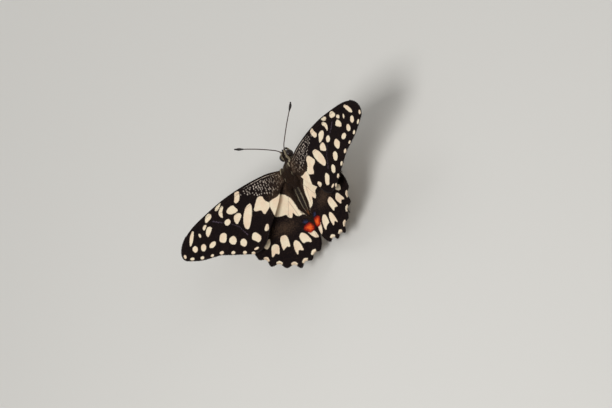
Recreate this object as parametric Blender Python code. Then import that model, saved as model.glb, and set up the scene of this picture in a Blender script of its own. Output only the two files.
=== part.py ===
"""A life-size lime butterfly, standing with its wings spread in a shallow V.

The head looks along -Y, the butterfly's left is +X, and it stands on the floor at Z = 0.
Sizes are written in millimetres and become metres as each mesh is made.
The trunk and the wings are drawn in the body's frame: X to the left, Y towards the tail, Z up
through the back, with its zero point between the wing hinges.
"""

from math import ceil, cos, pi, radians, sin

import bmesh
import bpy
import numpy as np
from mathutils import Euler, Matrix, Vector, geometry

MM = 0.001
GAP = 0.3
SHARP_ANGLE = radians(50)

# Stance: the hinges' height over the floor, and how far the head is raised.
HINGE_HEIGHT = 11.5
BODY_PITCH = 6.0

# Wing sheets: the membrane, the ridges that its veins raise, and the root that meets the thorax.
MEMBRANE = 0.5
RIDGE = 0.17
RIDGE_HALF_WIDTH = 0.45
ROOT_OUT = 3.3
ROOT_THICKNESS = 0.9
ROOT_TAPER = 1.8
SOCKET_DEPTH = 1.9

FORE_RISE, FORE_TILT, FORE_HINGE = 15.4, 0.9, 0.0
HIND_RISE, HIND_TILT, HIND_HINGE = 14.8, -10.0, -0.7
FORE_SPAN, HIND_CHORD = 45.0, 28.0
FORE_ARCH, FORE_ARCH_END, FORE_TIP_DROP = 0.6, 1.1, 0.5
FORE_REAR_DROP, FORE_REAR_DEPTH = 0.4, 16.0
HIND_ARCH = 0.45

# Wing outlines, as (out, back) on the flat sheet.
FORE_ROOT = (-3.3, 0.9)
FORE_COSTA = [(6.0, -4.6), (9.6, -5.2), (16.8, -5.45), (23.9, -5.05), (29.5, -4.2), (38.0, -2.3),
              (42.4, -0.4), (44.9, 1.9), (46.1, 4.6), (45.6, 7.0)]
FORE_TERMEN = [(43.6, 8.5), (39.6, 10.6), (35.4, 11.9), (32.4, 12.8), (28.2, 15.1), (24.0, 17.3),
               (21.3, 18.7), (19.2, 19.0), (17.1, 18.5), (14.9, 17.0)]
FORE_INNER = [(12.9, 14.2), (10.0, 10.8), (6.8, 6.4), (4.7, 2.9)]
HIND_ROOT = (1.7, 4.4)
HIND_COSTA = [(7.5, 2.5), (13.5, 5.0), (18.6, 8.8), (21.6, 12.6), (22.7, 16.2)]
HIND_LOBES = [(22.3, 19.3), (19.3, 23.6), (14.6, 26.7), (9.9, 29.3), (5.4, 28.7), (1.3, 27.3)]
HIND_INNER = [(-0.2, 25.4), (-0.5, 23.0), (-0.55, 19.0), (-0.3, 17.0), (0.5, 14.6), (1.2, 12.2),
              (1.75, 9.5), (2.05, 7.0), (2.5, 5.3)]
SCALLOP_DEPTH = 1.15

# Veins, each a smooth line through a few points of the sheet.
FORE_VEINS = {
    "subcosta": [(3.6, -2.9), (12.0, -4.5), (20.0, -4.6), (25.5, -4.0)],
    "radius": [(3.6, -2.2), (10.0, -3.4), (18.0, -3.6), (25.2, -2.8)],
    "radius_3": [(25.2, -2.8), (33.0, -2.1), (40.0, -0.2), (45.0, 2.9)],
    "radius_4": [(25.2, -2.8), (31.5, -0.9), (37.5, 1.0), (41.2, 3.9), (44.4, 7.4)],
    "radius_5": [(31.5, -0.9), (37.3, 3.6), (41.1, 9.3)],
    "cell_end": [(25.2, -2.8), (26.5, -0.9), (25.9, 1.3), (23.4, 2.7)],
    "medial_1": [(26.5, -0.9), (30.0, -0.6), (33.6, 4.3), (37.5, 10.8)],
    "medial_2": [(25.9, 1.3), (28.6, 3.6), (31.2, 7.6), (33.9, 11.8)],
    "cubitus": [(3.6, -1.2), (9.0, 0.2), (15.4, 2.0), (20.0, 2.8), (23.4, 2.7)],
    "medial_3": [(23.4, 2.7), (25.5, 6.2), (27.8, 9.6), (30.2, 13.7)],
    "cubital_1": [(20.0, 2.8), (21.1, 5.0), (23.7, 10.0), (26.3, 15.7)],
    "cubital_2": [(15.4, 2.0), (16.6, 4.3), (18.0, 7.6), (20.3, 12.3), (22.7, 17.6)],
    "anal": [(3.6, -0.2), (6.5, 1.5), (9.3, 4.2), (11.0, 8.4), (13.8, 13.4), (18.3, 18.4)],
}
HIND_VEINS = {
    "subcosta": [(3.6, 2.3), (8.0, 3.6), (14.0, 6.9), (19.0, 11.2), (22.3, 15.4)],
    "radius": [(3.6, 2.8), (8.0, 5.0), (12.3, 8.7), (18.0, 13.6), (22.1, 19.0)],
    "cell_end": [(12.3, 8.7), (12.7, 11.3), (11.2, 12.6), (8.8, 12.8)],
    "medial_1": [(12.7, 11.3), (16.4, 17.9), (19.2, 23.3)],
    "medial_2": [(11.2, 12.6), (13.6, 20.4), (14.6, 26.5)],
    "medial_3": [(8.8, 12.8), (9.9, 21.5), (9.9, 29.1)],
    "cubitus": [(3.6, 3.4), (4.4, 7.2), (6.3, 11.0), (8.8, 12.8)],
    "cubital_1": [(6.3, 11.0), (6.1, 20.5), (5.4, 28.4)],
    "cubital_2": [(4.4, 7.2), (3.2, 13.0), (2.2, 21.5), (1.3, 27.0)],
    "anal": [(3.4, 4.0), (2.6, 8.5), (1.5, 14.0), (0.4, 19.0), (0.3, 24.8)],
}

# The wings' net: its steps, and how far its points keep from the rim, the veins and each other.
OUTLINE_STEP, SCALLOP_STEP, VEIN_STEP, GRID_STEP = 1.4, 0.7, 2.0, 2.8
RIM_CLEARANCE, VEIN_CLEARANCE, JOIN_DISTANCE = 0.3, 0.36, 0.12
GRID_CLEARANCE, NET_TOLERANCE = 1.12, 1e-5

# Trunk stations: place along Y, half-width, top and underside.
HEAD = [(-6.7, 1.00, -1.00, -3.20), (-7.2, 1.20, -0.55, -3.55), (-8.2, 1.25, -0.25, -3.70),
        (-9.2, 1.12, -0.60, -3.45), (-9.8, 0.70, -1.20, -2.70)]
THORAX = [(-6.4, 1.00, -1.00, -3.20), (-5.9, 1.50, -0.60, -3.50), (-4.6, 2.45, 0.40, -4.00),
          (-2.6, 3.00, 1.35, -4.70), (-0.4, 3.10, 1.65, -4.90), (1.6, 2.80, 1.30, -4.80),
          (3.2, 2.20, 0.40, -4.40), (4.2, 1.60, -0.50, -3.90)]
ABDOMEN = [(4.5, 1.60, -0.50, -3.90), (6.0, 1.95, -0.70, -4.70), (8.5, 2.05, -1.00, -5.00),
           (11.0, 1.85, -1.35, -4.90), (13.2, 1.35, -1.85, -4.50), (14.6, 0.75, -2.40, -3.95),
           (15.1, 0.35, -2.80, -3.50)]
STATION_STEP = 0.35
SKULL_RINGS, SKULL_SIDES, SKULL_POWER = 11, 18, 3.0
TRUNK_RINGS, TRUNK_SIDES, TRUNK_POWER = 17, 20, 2.1
ABDOMEN_RINGS, ABDOMEN_SIDES, ABDOMEN_POWER = 8, 16, 2.0
RING_WAIST, RING_SHARPNESS, RING_FADE = 0.05, 4, 8
TEGULA = (1.9, -2.2, 1.05)
TEGULA_SIZE = (1.25, 1.75, 0.55)
TEGULA_RINGS, TEGULA_SIDES = 6, 12

# Eyes: domes on the flat sides of the head.
EYE_CENTRE = (-8.3, -1.95)
EYE_RADII = (1.10, 1.28, 1.42)
EYE_RINGS, EYE_SIDES = 6, 18

# Sockets: centre, outward direction, length and radius, in the body's frame, on the left side.
ANTENNA_SOCKET = ((0.62, -9.20, -1.15), (0.35, -0.85, 0.40), 0.75, 0.40)
PALP_SOCKET = ((0.80, -8.90, -2.90), (0.05, -0.95, -0.30), 0.75, 0.38)
MOUTH_SOCKET = ((0.00, -9.00, -2.90), (0.00, -0.50, -0.87), 0.95, 0.30)
LEG_SOCKETS = {
    "front": ((1.00, -3.90, -3.40), (0.45, -0.35, -0.82), 1.60, 0.62),
    "middle": ((1.10, -1.00, -3.90), (0.55, 0.00, -0.84), 1.70, 0.62),
    "hind": ((1.00, 1.90, -3.80), (0.50, 0.35, -0.79), 1.60, 0.62),
}

BOSS_SIDES, LIMB_SIDES = 10, 8

# Antennae: straight thin shafts with a slightly curved club.
ANTENNA_TIP = (14.0, -18.8, 4.5)
ANTENNA_ROOT, ANTENNA_BOW, ANTENNA_STEPS = 0.7, 0.35, 14
SHAFT_RADIUS, CLUB_RADIUS, CLUB_TIP_RADIUS, CLUB_LENGTH = 0.26, 0.46, 0.18, 3.2
CLUB_FULLNESS, CLUB_END, CLUB_LIFT = 1.3, 0.93, 0.25

# Palps and the coiled tongue.
PALP_JOINTS = [(0.86, -10.42, -3.10), (0.80, -10.78, -2.55), (0.68, -10.78, -1.80)]
PALP_RADIUS, PALP_TIP_RADIUS, PALP_STEP = 0.36, 0.22, 0.2
TONGUE_RADIUS, TONGUE_TIP_RADIUS, TONGUE_SIDES = 0.25, 0.16, 6
TONGUE_ROOT, TONGUE_NECK = 0.3, 0.55
COIL_RADIUS, COIL_PITCH, COIL_TURNS, COIL_STEPS = 1.15, 0.62, 1.45, 20

# Legs: knee, ankle and toe on the left side, from the floor point under the hinges.
LEG_JOINTS = {
    "front": ((4.2, -7.9, 7.5), (6.3, -11.4), (8.6, -16.2)),
    "middle": ((7.0, -1.8, 7.8), (9.4, -0.2), (12.4, 3.4)),
    "hind": ((5.8, 6.8, 7.2), (8.4, 12.8), (10.8, 19.0)),
}
HIP_LENGTH, HIP_RADIUS, FEMUR_RADIUS, KNEE_RADIUS = 1.1, 0.425, 0.50, 0.36
TIBIA_RADIUS, FOOT_RADIUS, TOE_RADIUS, TOE_TAPER = 0.31, 0.27, 0.22, 0.6
ANKLE_HEIGHT, FOOT_AXIS, HEEL_PLACE = 1.0, 0.22, 0.22
LEG_STEP, LEG_BEND = 1.5, 0.45


def clear_scene():
    for item in list(bpy.data.objects):
        bpy.data.objects.remove(item, do_unlink=True)


def make_material(name, colour, roughness):
    finish = bpy.data.materials.new(name)
    finish.use_nodes = True
    shader = finish.node_tree.nodes["Principled BSDF"]
    shader.inputs["Base Color"].default_value = (*colour, 1.0)
    shader.inputs["Roughness"].default_value = roughness
    shader.inputs["Metallic"].default_value = 0.0
    return finish


def make_materials():
    return {
        "fur": make_material("body_fur", (0.045, 0.032, 0.026), 0.85),
        "scales": make_material("abdomen_scales", (0.05, 0.04, 0.03), 0.7),
        "eye": make_material("eye_facets", (0.03, 0.015, 0.012), 0.2),
        "antenna": make_material("antenna_shell", (0.05, 0.02, 0.012), 0.5),
        "tongue": make_material("tongue_shell", (0.06, 0.03, 0.015), 0.45),
        "leg": make_material("leg_shell", (0.06, 0.04, 0.028), 0.6),
        "fore": make_material("forewing_scales", (0.022, 0.014, 0.012), 0.7),
        "hind": make_material("hindwing_scales", (0.026, 0.017, 0.013), 0.7),
    }


def empty(name, parent=None):
    holder = bpy.data.objects.new(name, None)
    bpy.context.scene.collection.objects.link(holder)
    holder.parent = parent
    return holder


def mesh_object(name, points, faces, finish=None, parent=None):
    """Makes an object from points in millimetres, with its faces turned outwards and shaded smooth."""
    mesh = bpy.data.meshes.new(name)
    mesh.from_pydata([Vector(p) * MM for p in points], [], faces)
    shell = bmesh.new()
    shell.from_mesh(mesh)
    bmesh.ops.recalc_face_normals(shell, faces=shell.faces)
    shell.to_mesh(mesh)
    shell.free()
    item = bpy.data.objects.new(name, mesh)
    bpy.context.scene.collection.objects.link(item)
    item.parent = parent
    if finish:
        mesh.materials.append(finish)
    mesh.shade_smooth()
    mesh.set_sharp_from_angle(angle=SHARP_ANGLE)
    return item


def curve_through(points, step):
    """Samples a smooth curve through the points, about every step."""
    knots = [np.array(p, float) for p in points]
    knots = [2 * knots[0] - knots[1]] + knots + [2 * knots[-1] - knots[-2]]
    samples = []
    for i in range(1, len(knots) - 2):
        before, start, end, after = knots[i - 1:i + 3]
        count = max(1, ceil(np.linalg.norm(end - start) / step))
        for k in range(count):
            t = k / count
            bend = (2 * before - 5 * start + 4 * end - after) * t * t
            twist = (3 * start - before - 3 * end + after) * t ** 3
            samples.append(0.5 * (2 * start + (end - before) * t + bend + twist))
    samples.append(knots[-2])
    return samples


def rounded_path(joints, step, bend):
    """Runs straight from joint to joint and rounds each corner over the length bend."""
    joints = [Vector(j) for j in joints]
    path = [joints[0]]
    for before, here, after in zip(joints, joints[1:], joints[2:]):
        enter = here + (before - here).normalized() * bend
        leave = here + (after - here).normalized() * bend
        middle = (enter + leave + 2 * here) / 4
        path += [enter, middle, leave]
    path.append(joints[-1])
    fine = [path[0]]
    for start, end in zip(path, path[1:]):
        count = max(1, round((end - start).length / step))
        fine += [start.lerp(end, (k + 1) / count) for k in range(count)]
    return fine


def ring_faces(rings, sides):
    """Joins rings of points that lie one after another, and closes both ends."""
    faces = []
    for ring in range(rings - 1):
        for k in range(sides):
            low, high = ring * sides, (ring + 1) * sides
            nxt = (k + 1) % sides
            faces.append((low + k, low + nxt, high + nxt, high + k))
    faces.append(tuple(reversed(range(sides))))
    faces.append(tuple(range((rings - 1) * sides, rings * sides)))
    return faces


def tube(name, path, radii, sides, finish=None, parent=None, first=None, floor=None):
    """Sweeps a round section along a path. The first face stands square to the direction first."""
    path = [Vector(p) for p in path]
    tangents = [(b - a).normalized() for a, b in zip(path, path[1:])]
    tangents = [Vector(first).normalized() if first else tangents[0]] + [
        (a + b).normalized() for a, b in zip(tangents, tangents[1:])
    ] + [tangents[-1]]
    side = tangents[0].orthogonal().normalized()
    points = []
    for centre, tangent, radius in zip(path, tangents, radii):
        side = (side - tangent * side.dot(tangent)).normalized()
        up = tangent.cross(side)
        for k in range(sides):
            angle = 2 * pi * k / sides
            point = centre + float(radius) * (cos(angle) * side + sin(angle) * up)
            if floor is not None:
                point.z = max(point.z, floor)
            points.append(point)
    return mesh_object(name, points, ring_faces(len(path), sides), finish, parent)


def arc_lengths(path):
    steps = [0.0] + [(Vector(b) - Vector(a)).length for a, b in zip(path, path[1:])]
    return np.cumsum(steps)


def body_loft(name, stations, rings, sides, power, shape=lambda t: 1.0):
    """Lofts a trunk part along Y through its stations. power squares the section up when over 2."""
    rows = np.array(sorted(tuple(row) for row in curve_through(stations, STATION_STEP)))
    places = np.linspace(stations[0][0], stations[-1][0], rings)
    points = []
    for index, y in enumerate(places):
        width, top, base = [np.interp(y, rows[:, 0], rows[:, c]) for c in (1, 2, 3)]
        swell = shape(index / (rings - 1))
        middle, half = (top + base) / 2, (top - base) / 2 * swell
        for k in range(sides):
            angle = 2 * pi * (k + 0.5) / sides
            c, s = cos(angle), sin(angle)
            x = np.sign(c) * abs(c) ** (2 / power) * width * swell
            z = middle + np.sign(s) * abs(s) ** (2 / power) * half
            points.append((x, y, z))
    return mesh_object(name, points, ring_faces(rings, sides))


def mirrored(point, side):
    return Vector((point[0] * side, point[1], point[2]))


def socket_boss(socket, side):
    """A short round boss whose flat end carries a leg, a palp, the tongue or an antenna."""
    centre, direction, length, radius = socket
    start = mirrored(centre, side)
    end = start + mirrored(direction, side).normalized() * length
    return tube("boss", [start, end], [radius, radius], BOSS_SIDES)


def socket_root(socket, side):
    """Where the piece on a socket starts, a gap beyond its flat end, and its direction."""
    centre, direction, length, _ = socket
    along = mirrored(direction, side).normalized()
    return mirrored(centre, side) + along * (length + GAP), along


def fuse(name, pieces, finish, parent):
    """Joins closed pieces into one solid and keeps its largest closed surface."""
    host, others = pieces[0], bpy.data.collections.new(name + "_pieces")
    for piece in pieces[1:]:
        bpy.context.scene.collection.objects.unlink(piece)
        others.objects.link(piece)
    bpy.context.scene.collection.children.link(others)
    join = host.modifiers.new("join", "BOOLEAN")
    join.operation = "UNION"
    join.operand_type = "COLLECTION"
    join.collection = others
    join.solver = "EXACT"
    bpy.context.view_layer.update()
    joined = bpy.data.meshes.new_from_object(host.evaluated_get(bpy.context.evaluated_depsgraph_get()))
    for piece in pieces:
        bpy.data.objects.remove(piece, do_unlink=True)
    bpy.data.collections.remove(others)
    keep_largest(joined)
    joined.name = name
    joined.materials.clear()
    joined.materials.append(finish)
    joined.shade_smooth()
    joined.set_sharp_from_angle(angle=SHARP_ANGLE)
    item = bpy.data.objects.new(name, joined)
    bpy.context.scene.collection.objects.link(item)
    item.parent = parent
    return item


def keep_largest(mesh):
    """Keeps the connected surface with the most points."""
    label = list(range(len(mesh.vertices)))

    def root(i):
        while label[i] != i:
            label[i] = label[label[i]]
            i = label[i]
        return i

    for edge in mesh.edges:
        a, b = edge.vertices
        label[root(a)] = root(b)
    roots = [root(i) for i in range(len(label))]
    best = max(set(roots), key=roots.count)
    kept = [i for i, r in enumerate(roots) if r == best]
    index = {old: new for new, old in enumerate(kept)}
    points = [mesh.vertices[i].co.copy() for i in kept]
    faces = [[index[i] for i in p.vertices] for p in mesh.polygons if p.vertices[0] in index]
    mesh.clear_geometry()
    mesh.from_pydata(points, [], faces)


def fore_arch(out, back):
    """Height of the forewing's surface over its flat sheet."""
    t = out / FORE_SPAN
    rear = max(back, 0.0) / FORE_REAR_DEPTH
    rise = FORE_ARCH * sin(pi * min(max(t, 0.0), FORE_ARCH_END))
    return rise - FORE_TIP_DROP * t ** 3 - FORE_REAR_DROP * rear ** 2


def hind_arch(out, back):
    """Height of the hindwing's surface over its flat sheet."""
    return HIND_ARCH * sin(pi * min(max(back / HIND_CHORD, 0.0), 1.0))


def sheet_matrix(side, rise, tilt, hinge):
    """Places a wing's flat sheet in the body's frame."""
    turn = Euler((radians(tilt), -side * radians(rise), 0.0)).to_matrix().to_4x4()
    return Matrix.Translation((0.0, 0.0, hinge * MM)) @ turn


def straight(start, end, step):
    count = max(1, round(np.linalg.norm(np.subtract(end, start)) / step))
    return [np.array(start) + np.subtract(end, start) * k / count for k in range(count)]


def fore_outline():
    lead, trail = (ROOT_OUT, FORE_ROOT[0]), (ROOT_OUT, FORE_ROOT[1])
    rim = curve_through([lead] + FORE_COSTA + FORE_TERMEN + FORE_INNER + [trail], OUTLINE_STEP)
    return rim[:-1] + straight(trail, lead, OUTLINE_STEP)


def hind_outline():
    """The hindwing's rim, with a shallow notch between each pair of lobes at the vein ends."""
    lead, trail = (ROOT_OUT, HIND_ROOT[0]), (ROOT_OUT, HIND_ROOT[1])
    rim = curve_through([lead] + HIND_COSTA + HIND_LOBES[:1], OUTLINE_STEP)[:-1]
    for start, end in zip(HIND_LOBES, HIND_LOBES[1:]):
        start, end = np.array(start), np.array(end)
        chord = end - start
        inward = np.array([-chord[1], chord[0]]) / np.linalg.norm(chord)
        count = ceil(np.linalg.norm(chord) / SCALLOP_STEP)
        for k in range(count):
            t = k / count
            rim.append(start + chord * t + inward * SCALLOP_DEPTH * sin(pi * t) ** 2)
    rim += curve_through([HIND_LOBES[-1]] + HIND_INNER + [trail], OUTLINE_STEP)[:-1]
    return rim + straight(trail, lead, OUTLINE_STEP)


def distance_to_line(points, line):
    """Distance of each point to a polyline."""
    points, line = np.asarray(points, float), np.asarray(line, float)
    best = np.full(len(points), 1e9)
    for a, b in zip(line, line[1:]):
        run = b - a
        t = np.clip((points - a) @ run / (run @ run), 0.0, 1.0)
        best = np.minimum(best, np.linalg.norm(points - a - t[:, None] * run, axis=1))
    return best


def inside(points, rim):
    """Whether each point lies inside the closed rim."""
    points, rim = np.asarray(points, float), np.asarray(rim, float)
    crossed = np.zeros(len(points), bool)
    for a, b in zip(rim, np.roll(rim, -1, axis=0)):
        spans = (a[1] > points[:, 1]) != (b[1] > points[:, 1])
        rise = np.where(spans, b[1] - a[1], 1.0)
        crossed ^= spans & (points[:, 0] < a[0] + (points[:, 1] - a[1]) * (b[0] - a[0]) / rise)
    return crossed


def flank(line, offset):
    """The line beside a vein where its ridge meets the membrane."""
    line = np.asarray(line)
    run = np.gradient(line, axis=0)
    normal = np.stack([-run[:, 1], run[:, 0]], axis=1)
    return line + offset * normal / np.linalg.norm(normal, axis=1)[:, None]


def wing_net(rim, veins):
    """Triangulates a wing's sheet along its rim and veins. Returns its points and triangles."""
    closed_rim = np.array(rim + rim[:1])
    points = [tuple(p) for p in rim]
    edges = [(i, (i + 1) % len(rim)) for i in range(len(rim))]
    lines = {name: np.array(curve_through(way, VEIN_STEP)) for name, way in veins.items()}
    for name, line in lines.items():
        for offset in (0.0, -RIDGE_HALF_WIDTH, RIDGE_HALF_WIDTH):
            track = flank(line, offset)
            clear = inside(track, rim) & (distance_to_line(track, closed_rim) > RIM_CLEARANCE)
            for other, its_line in lines.items():
                if offset and other != name:
                    clear &= distance_to_line(track, its_line) > VEIN_CLEARANCE
            previous = None
            for point, ok in zip(track, clear):
                near = np.linalg.norm(np.array(points) - point, axis=1)
                if ok and near.min() < JOIN_DISTANCE:
                    current = int(near.argmin())
                elif ok:
                    current = len(points)
                    points.append(tuple(point))
                else:
                    current = None
                if current is not None and previous is not None and current != previous:
                    edges.append((previous, current))
                previous = current
    low, high = closed_rim.min(axis=0), closed_rim.max(axis=0)
    grid = [
        (x + (row % 2) * GRID_STEP / 2, y)
        for row, y in enumerate(np.arange(low[1], high[1], GRID_STEP * sin(pi / 3)))
        for x in np.arange(low[0], high[0], GRID_STEP)
    ]
    grid = [p for p, ok in zip(grid, inside(grid, rim)) if ok]
    points += [p for p in grid if np.linalg.norm(np.array(points) - p, axis=1).min() > GRID_CLEARANCE]
    flat = [Vector(p) for p in points]
    net = geometry.delaunay_2d_cdt(flat, edges, [], 1, NET_TOLERANCE)
    return np.array([tuple(p) for p in net[0]]), [tuple(t) for t in net[2]], list(lines.values())


def wing(name, rim, veins, arch, side, placing, finish, parent):
    """A wing's membrane with its veins raised on both faces, split into triangles alike."""
    net, triangles, lines = wing_net(rim, veins)
    ridge = np.zeros(len(net))
    for line in lines:
        ridge = np.maximum(ridge, 1.0 - distance_to_line(net, line) / RIDGE_HALF_WIDTH)
    upper, lower = [], []
    for (out, back), lift in zip(net, ridge):
        t = min(max((out - ROOT_OUT) / ROOT_TAPER, 0.0), 1.0)
        swell = 1.0 - t * t * (3.0 - 2.0 * t)
        half = (MEMBRANE + (ROOT_THICKNESS - MEMBRANE) * swell) / 2
        half += RIDGE * max(lift, 0.0) * (1.0 - swell)
        height = arch(out, back)
        upper.append((side * out, back, height + half))
        lower.append((side * out, back, height - half))
    count = len(net)
    faces = list(triangles) + [(c + count, b + count, a + count) for a, b, c in triangles]
    borders = {}
    for a, b, c in triangles:
        for start, end in ((a, b), (b, c), (c, a)):
            if borders.pop((end, start), None) is None:
                borders[(start, end)] = True
    for start, end in borders:
        faces.append((end, start, start + count))
        faces.append((end, start + count, end + count))
    item = mesh_object(name, upper + lower, faces, finish, parent)
    item.matrix_basis = placing
    return item


def wing_socket(root, arch, side, placing):
    """The shoulder on the thorax whose flat face meets a wing's root."""
    outer, inner = ROOT_OUT - GAP, ROOT_OUT - GAP - SOCKET_DEPTH
    level = arch(ROOT_OUT, sum(root) / 2)
    points = []
    for out in (inner, outer):
        for back, up in ((root[0], -1), (root[1], -1), (root[1], 1), (root[0], 1)):
            points.append((side * out, back, level + up * ROOT_THICKNESS / 2))
    item = mesh_object("shoulder", points, ring_faces(2, 4))
    item.data.transform(placing)
    return item


def dome(name, side, finish, parent):
    """A compound eye: a dome with a flat inner face beside the head."""
    depth, length, height = EYE_RADII
    inner = HEAD[2][1] + GAP
    points = []
    for ring in range(EYE_RINGS):
        lift = (ring / EYE_RINGS) * pi / 2
        for k in range(EYE_SIDES):
            angle = 2 * pi * k / EYE_SIDES
            y = EYE_CENTRE[0] + length * cos(lift) * cos(angle)
            z = EYE_CENTRE[1] + height * cos(lift) * sin(angle)
            points.append((side * (inner + depth * sin(lift)), y, z))
    faces = ring_faces(EYE_RINGS, EYE_SIDES)[:-1]
    points.append((side * (inner + depth), *EYE_CENTRE))
    last = (EYE_RINGS - 1) * EYE_SIDES
    faces += [(last + k, last + (k + 1) % EYE_SIDES, len(points) - 1) for k in range(EYE_SIDES)]
    return mesh_object(name, points, faces, finish, parent)


def make_head(finish, parent):
    skull = body_loft("skull", HEAD, SKULL_RINGS, SKULL_SIDES, SKULL_POWER)
    bosses = [socket_boss(MOUTH_SOCKET, 1)]
    for side in (1, -1):
        bosses += [socket_boss(ANTENNA_SOCKET, side), socket_boss(PALP_SOCKET, side)]
    return fuse("head", [skull] + bosses, finish, parent)


def make_thorax(finish, parent, placings):
    pieces = [body_loft("trunk", THORAX, TRUNK_RINGS, TRUNK_SIDES, TRUNK_POWER)]
    for side in (1, -1):
        fore, hind = placings[side]
        pieces.append(wing_socket(FORE_ROOT, fore_arch, side, fore))
        pieces.append(wing_socket(HIND_ROOT, hind_arch, side, hind))
        pieces += [socket_boss(socket, side) for socket in LEG_SOCKETS.values()]
        pieces.append(tegula(side))
    return fuse("thorax", pieces, finish, parent)


def tegula(side):
    """The small rounded plate that covers the forewing's hinge."""
    centre, size = mirrored(TEGULA, side), Vector(TEGULA_SIZE)
    rings, sides = TEGULA_RINGS, TEGULA_SIDES
    points = [centre - Vector((0, size.y, 0))]
    for ring in range(1, rings):
        lift = pi * ring / rings
        for k in range(sides):
            angle = 2 * pi * k / sides
            offset = Vector((cos(angle) * sin(lift), -cos(lift), sin(angle) * sin(lift)))
            points.append(centre + offset * size)
    points.append(centre + Vector((0, size.y, 0)))
    faces = [(0, 1 + k, 1 + (k + 1) % sides) for k in range(sides)]
    for ring in range(rings - 2):
        for k in range(sides):
            low, high, nxt = 1 + ring * sides, 1 + (ring + 1) * sides, (k + 1) % sides
            faces.append((low + k, high + k, high + nxt, low + nxt))
    last = 1 + (rings - 2) * sides
    faces += [(last + k, len(points) - 1, last + (k + 1) % sides) for k in range(sides)]
    return mesh_object("tegula", points, faces)


def make_abdomen(finish, parent):
    """The abdomen, drawn in a little at each of its rings."""
    def swell(t):
        waist = abs(cos(pi * ABDOMEN_RINGS * t)) ** RING_SHARPNESS
        return 1.0 - RING_WAIST * waist * min(1.0, RING_FADE * t)

    item = body_loft("abdomen", ABDOMEN, 4 * ABDOMEN_RINGS + 1, ABDOMEN_SIDES, ABDOMEN_POWER, swell)
    item.data.materials.append(finish)
    item.parent = parent
    return item


def make_antenna(side, finish, parent):
    """A thin shaft, bowed a little, that swells into a curved club."""
    root, along = socket_root(ANTENNA_SOCKET, side)
    tip = mirrored(ANTENNA_TIP, side)
    knee = root + along * ANTENNA_ROOT
    across = (tip - knee).cross(Vector((0, 0, 1))).normalized() * side
    path = [root]
    for k in range(ANTENNA_STEPS + 1):
        t = k / ANTENNA_STEPS
        path.append(knee.lerp(tip, t) + across * ANTENNA_BOW * sin(pi * t))
    path[-1] = path[-1] + Vector((0, 0, CLUB_LIFT))
    lengths = arc_lengths(path)
    radii = []
    for length in lengths:
        t = min(max((length - lengths[-1] + CLUB_LENGTH) / CLUB_LENGTH, 0.0), 1.0)
        club = sin(pi * min(t, CLUB_END) ** CLUB_FULLNESS)
        radii.append(SHAFT_RADIUS + (CLUB_RADIUS - SHAFT_RADIUS) * club)
    radii[0] = ANTENNA_SOCKET[3]
    radii[-1] = CLUB_TIP_RADIUS
    name = "antenna_" + side_name(side)
    return tube(name, path, radii, LIMB_SIDES, finish, parent, first=along)


def make_palp(side, finish, parent):
    root, along = socket_root(PALP_SOCKET, side)
    path = curve_through([root] + [mirrored(j, side) for j in PALP_JOINTS], PALP_STEP)
    lengths = arc_lengths(path)
    radii = [PALP_RADIUS + (PALP_TIP_RADIUS - PALP_RADIUS) * (v / lengths[-1]) ** 2 for v in lengths]
    return tube("palp_" + side_name(side), path, radii, LIMB_SIDES, finish, parent, first=along)


def make_tongue(finish, parent):
    """The proboscis, coiled under the head like a watch spring."""
    root, along = socket_root(MOUTH_SOCKET, 1)
    start = root + along * TONGUE_NECK
    inward = Vector((0, -along.z, along.y))
    centre = start + inward * COIL_RADIUS
    path = [root, root + along * TONGUE_ROOT]
    steps = round(COIL_TURNS * COIL_STEPS)
    for k in range(steps + 1):
        turn = 2 * pi * COIL_TURNS * k / steps
        radius = COIL_RADIUS - COIL_PITCH * turn / (2 * pi)
        path.append(centre - radius * (cos(turn) * inward - sin(turn) * along))
    radii = [TONGUE_RADIUS] * (len(path) - 1) + [TONGUE_TIP_RADIUS]
    return tube("proboscis", path, radii, TONGUE_SIDES, finish, parent, first=along)


def make_leg(place, side, body_turn, finish, parent):
    """One leg: thigh, shin and a foot that lies flat along the floor."""
    socket = LEG_SOCKETS[place]
    root, along = socket_root(socket, side)
    root = body_turn @ root + Vector((0, 0, HINGE_HEIGHT))
    along = body_turn @ along
    knee, ankle, toe = LEG_JOINTS[place]
    knee = mirrored(knee, side)
    ankle = mirrored((*ankle, ANKLE_HEIGHT), side)
    toe = mirrored((*toe, FOOT_AXIS), side)
    heel = ankle.lerp(toe, HEEL_PLACE)
    heel.z = FOOT_AXIS
    joints = [root, root + along * HIP_LENGTH, knee, ankle, heel, toe]
    path = rounded_path(joints, LEG_STEP, LEG_BEND)
    lengths = arc_lengths(path)
    marks = [0.0]
    for a, b in zip(joints, joints[1:]):
        marks.append(marks[-1] + (b - a).length)
    scale = lengths[-1] / marks[-1]
    marks = [m * scale for m in marks]
    stops = [marks[0], marks[1], (marks[1] + marks[2]) / 2, marks[2], marks[3], marks[4],
             marks[5] - TOE_TAPER, marks[5]]
    widths = [socket[3], HIP_RADIUS, FEMUR_RADIUS, KNEE_RADIUS, TIBIA_RADIUS, FOOT_RADIUS,
              FOOT_RADIUS, TOE_RADIUS]
    radii = np.interp(lengths, stops, widths)
    name = f"leg_{place}_{side_name(side)}"
    return tube(name, path, radii, LIMB_SIDES, finish, parent, first=along, floor=0.0)


def side_name(side):
    return "left" if side > 0 else "right"


def centre_on_floor(root):
    """Moves the whole butterfly along Y until its box is centred over the origin."""
    bpy.context.view_layer.update()
    reach = [
        (item.matrix_world @ vertex.co).y
        for item in bpy.data.objects if item.type == "MESH"
        for vertex in item.data.vertices
    ]
    root.location.y -= (min(reach) + max(reach)) / 2


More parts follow.
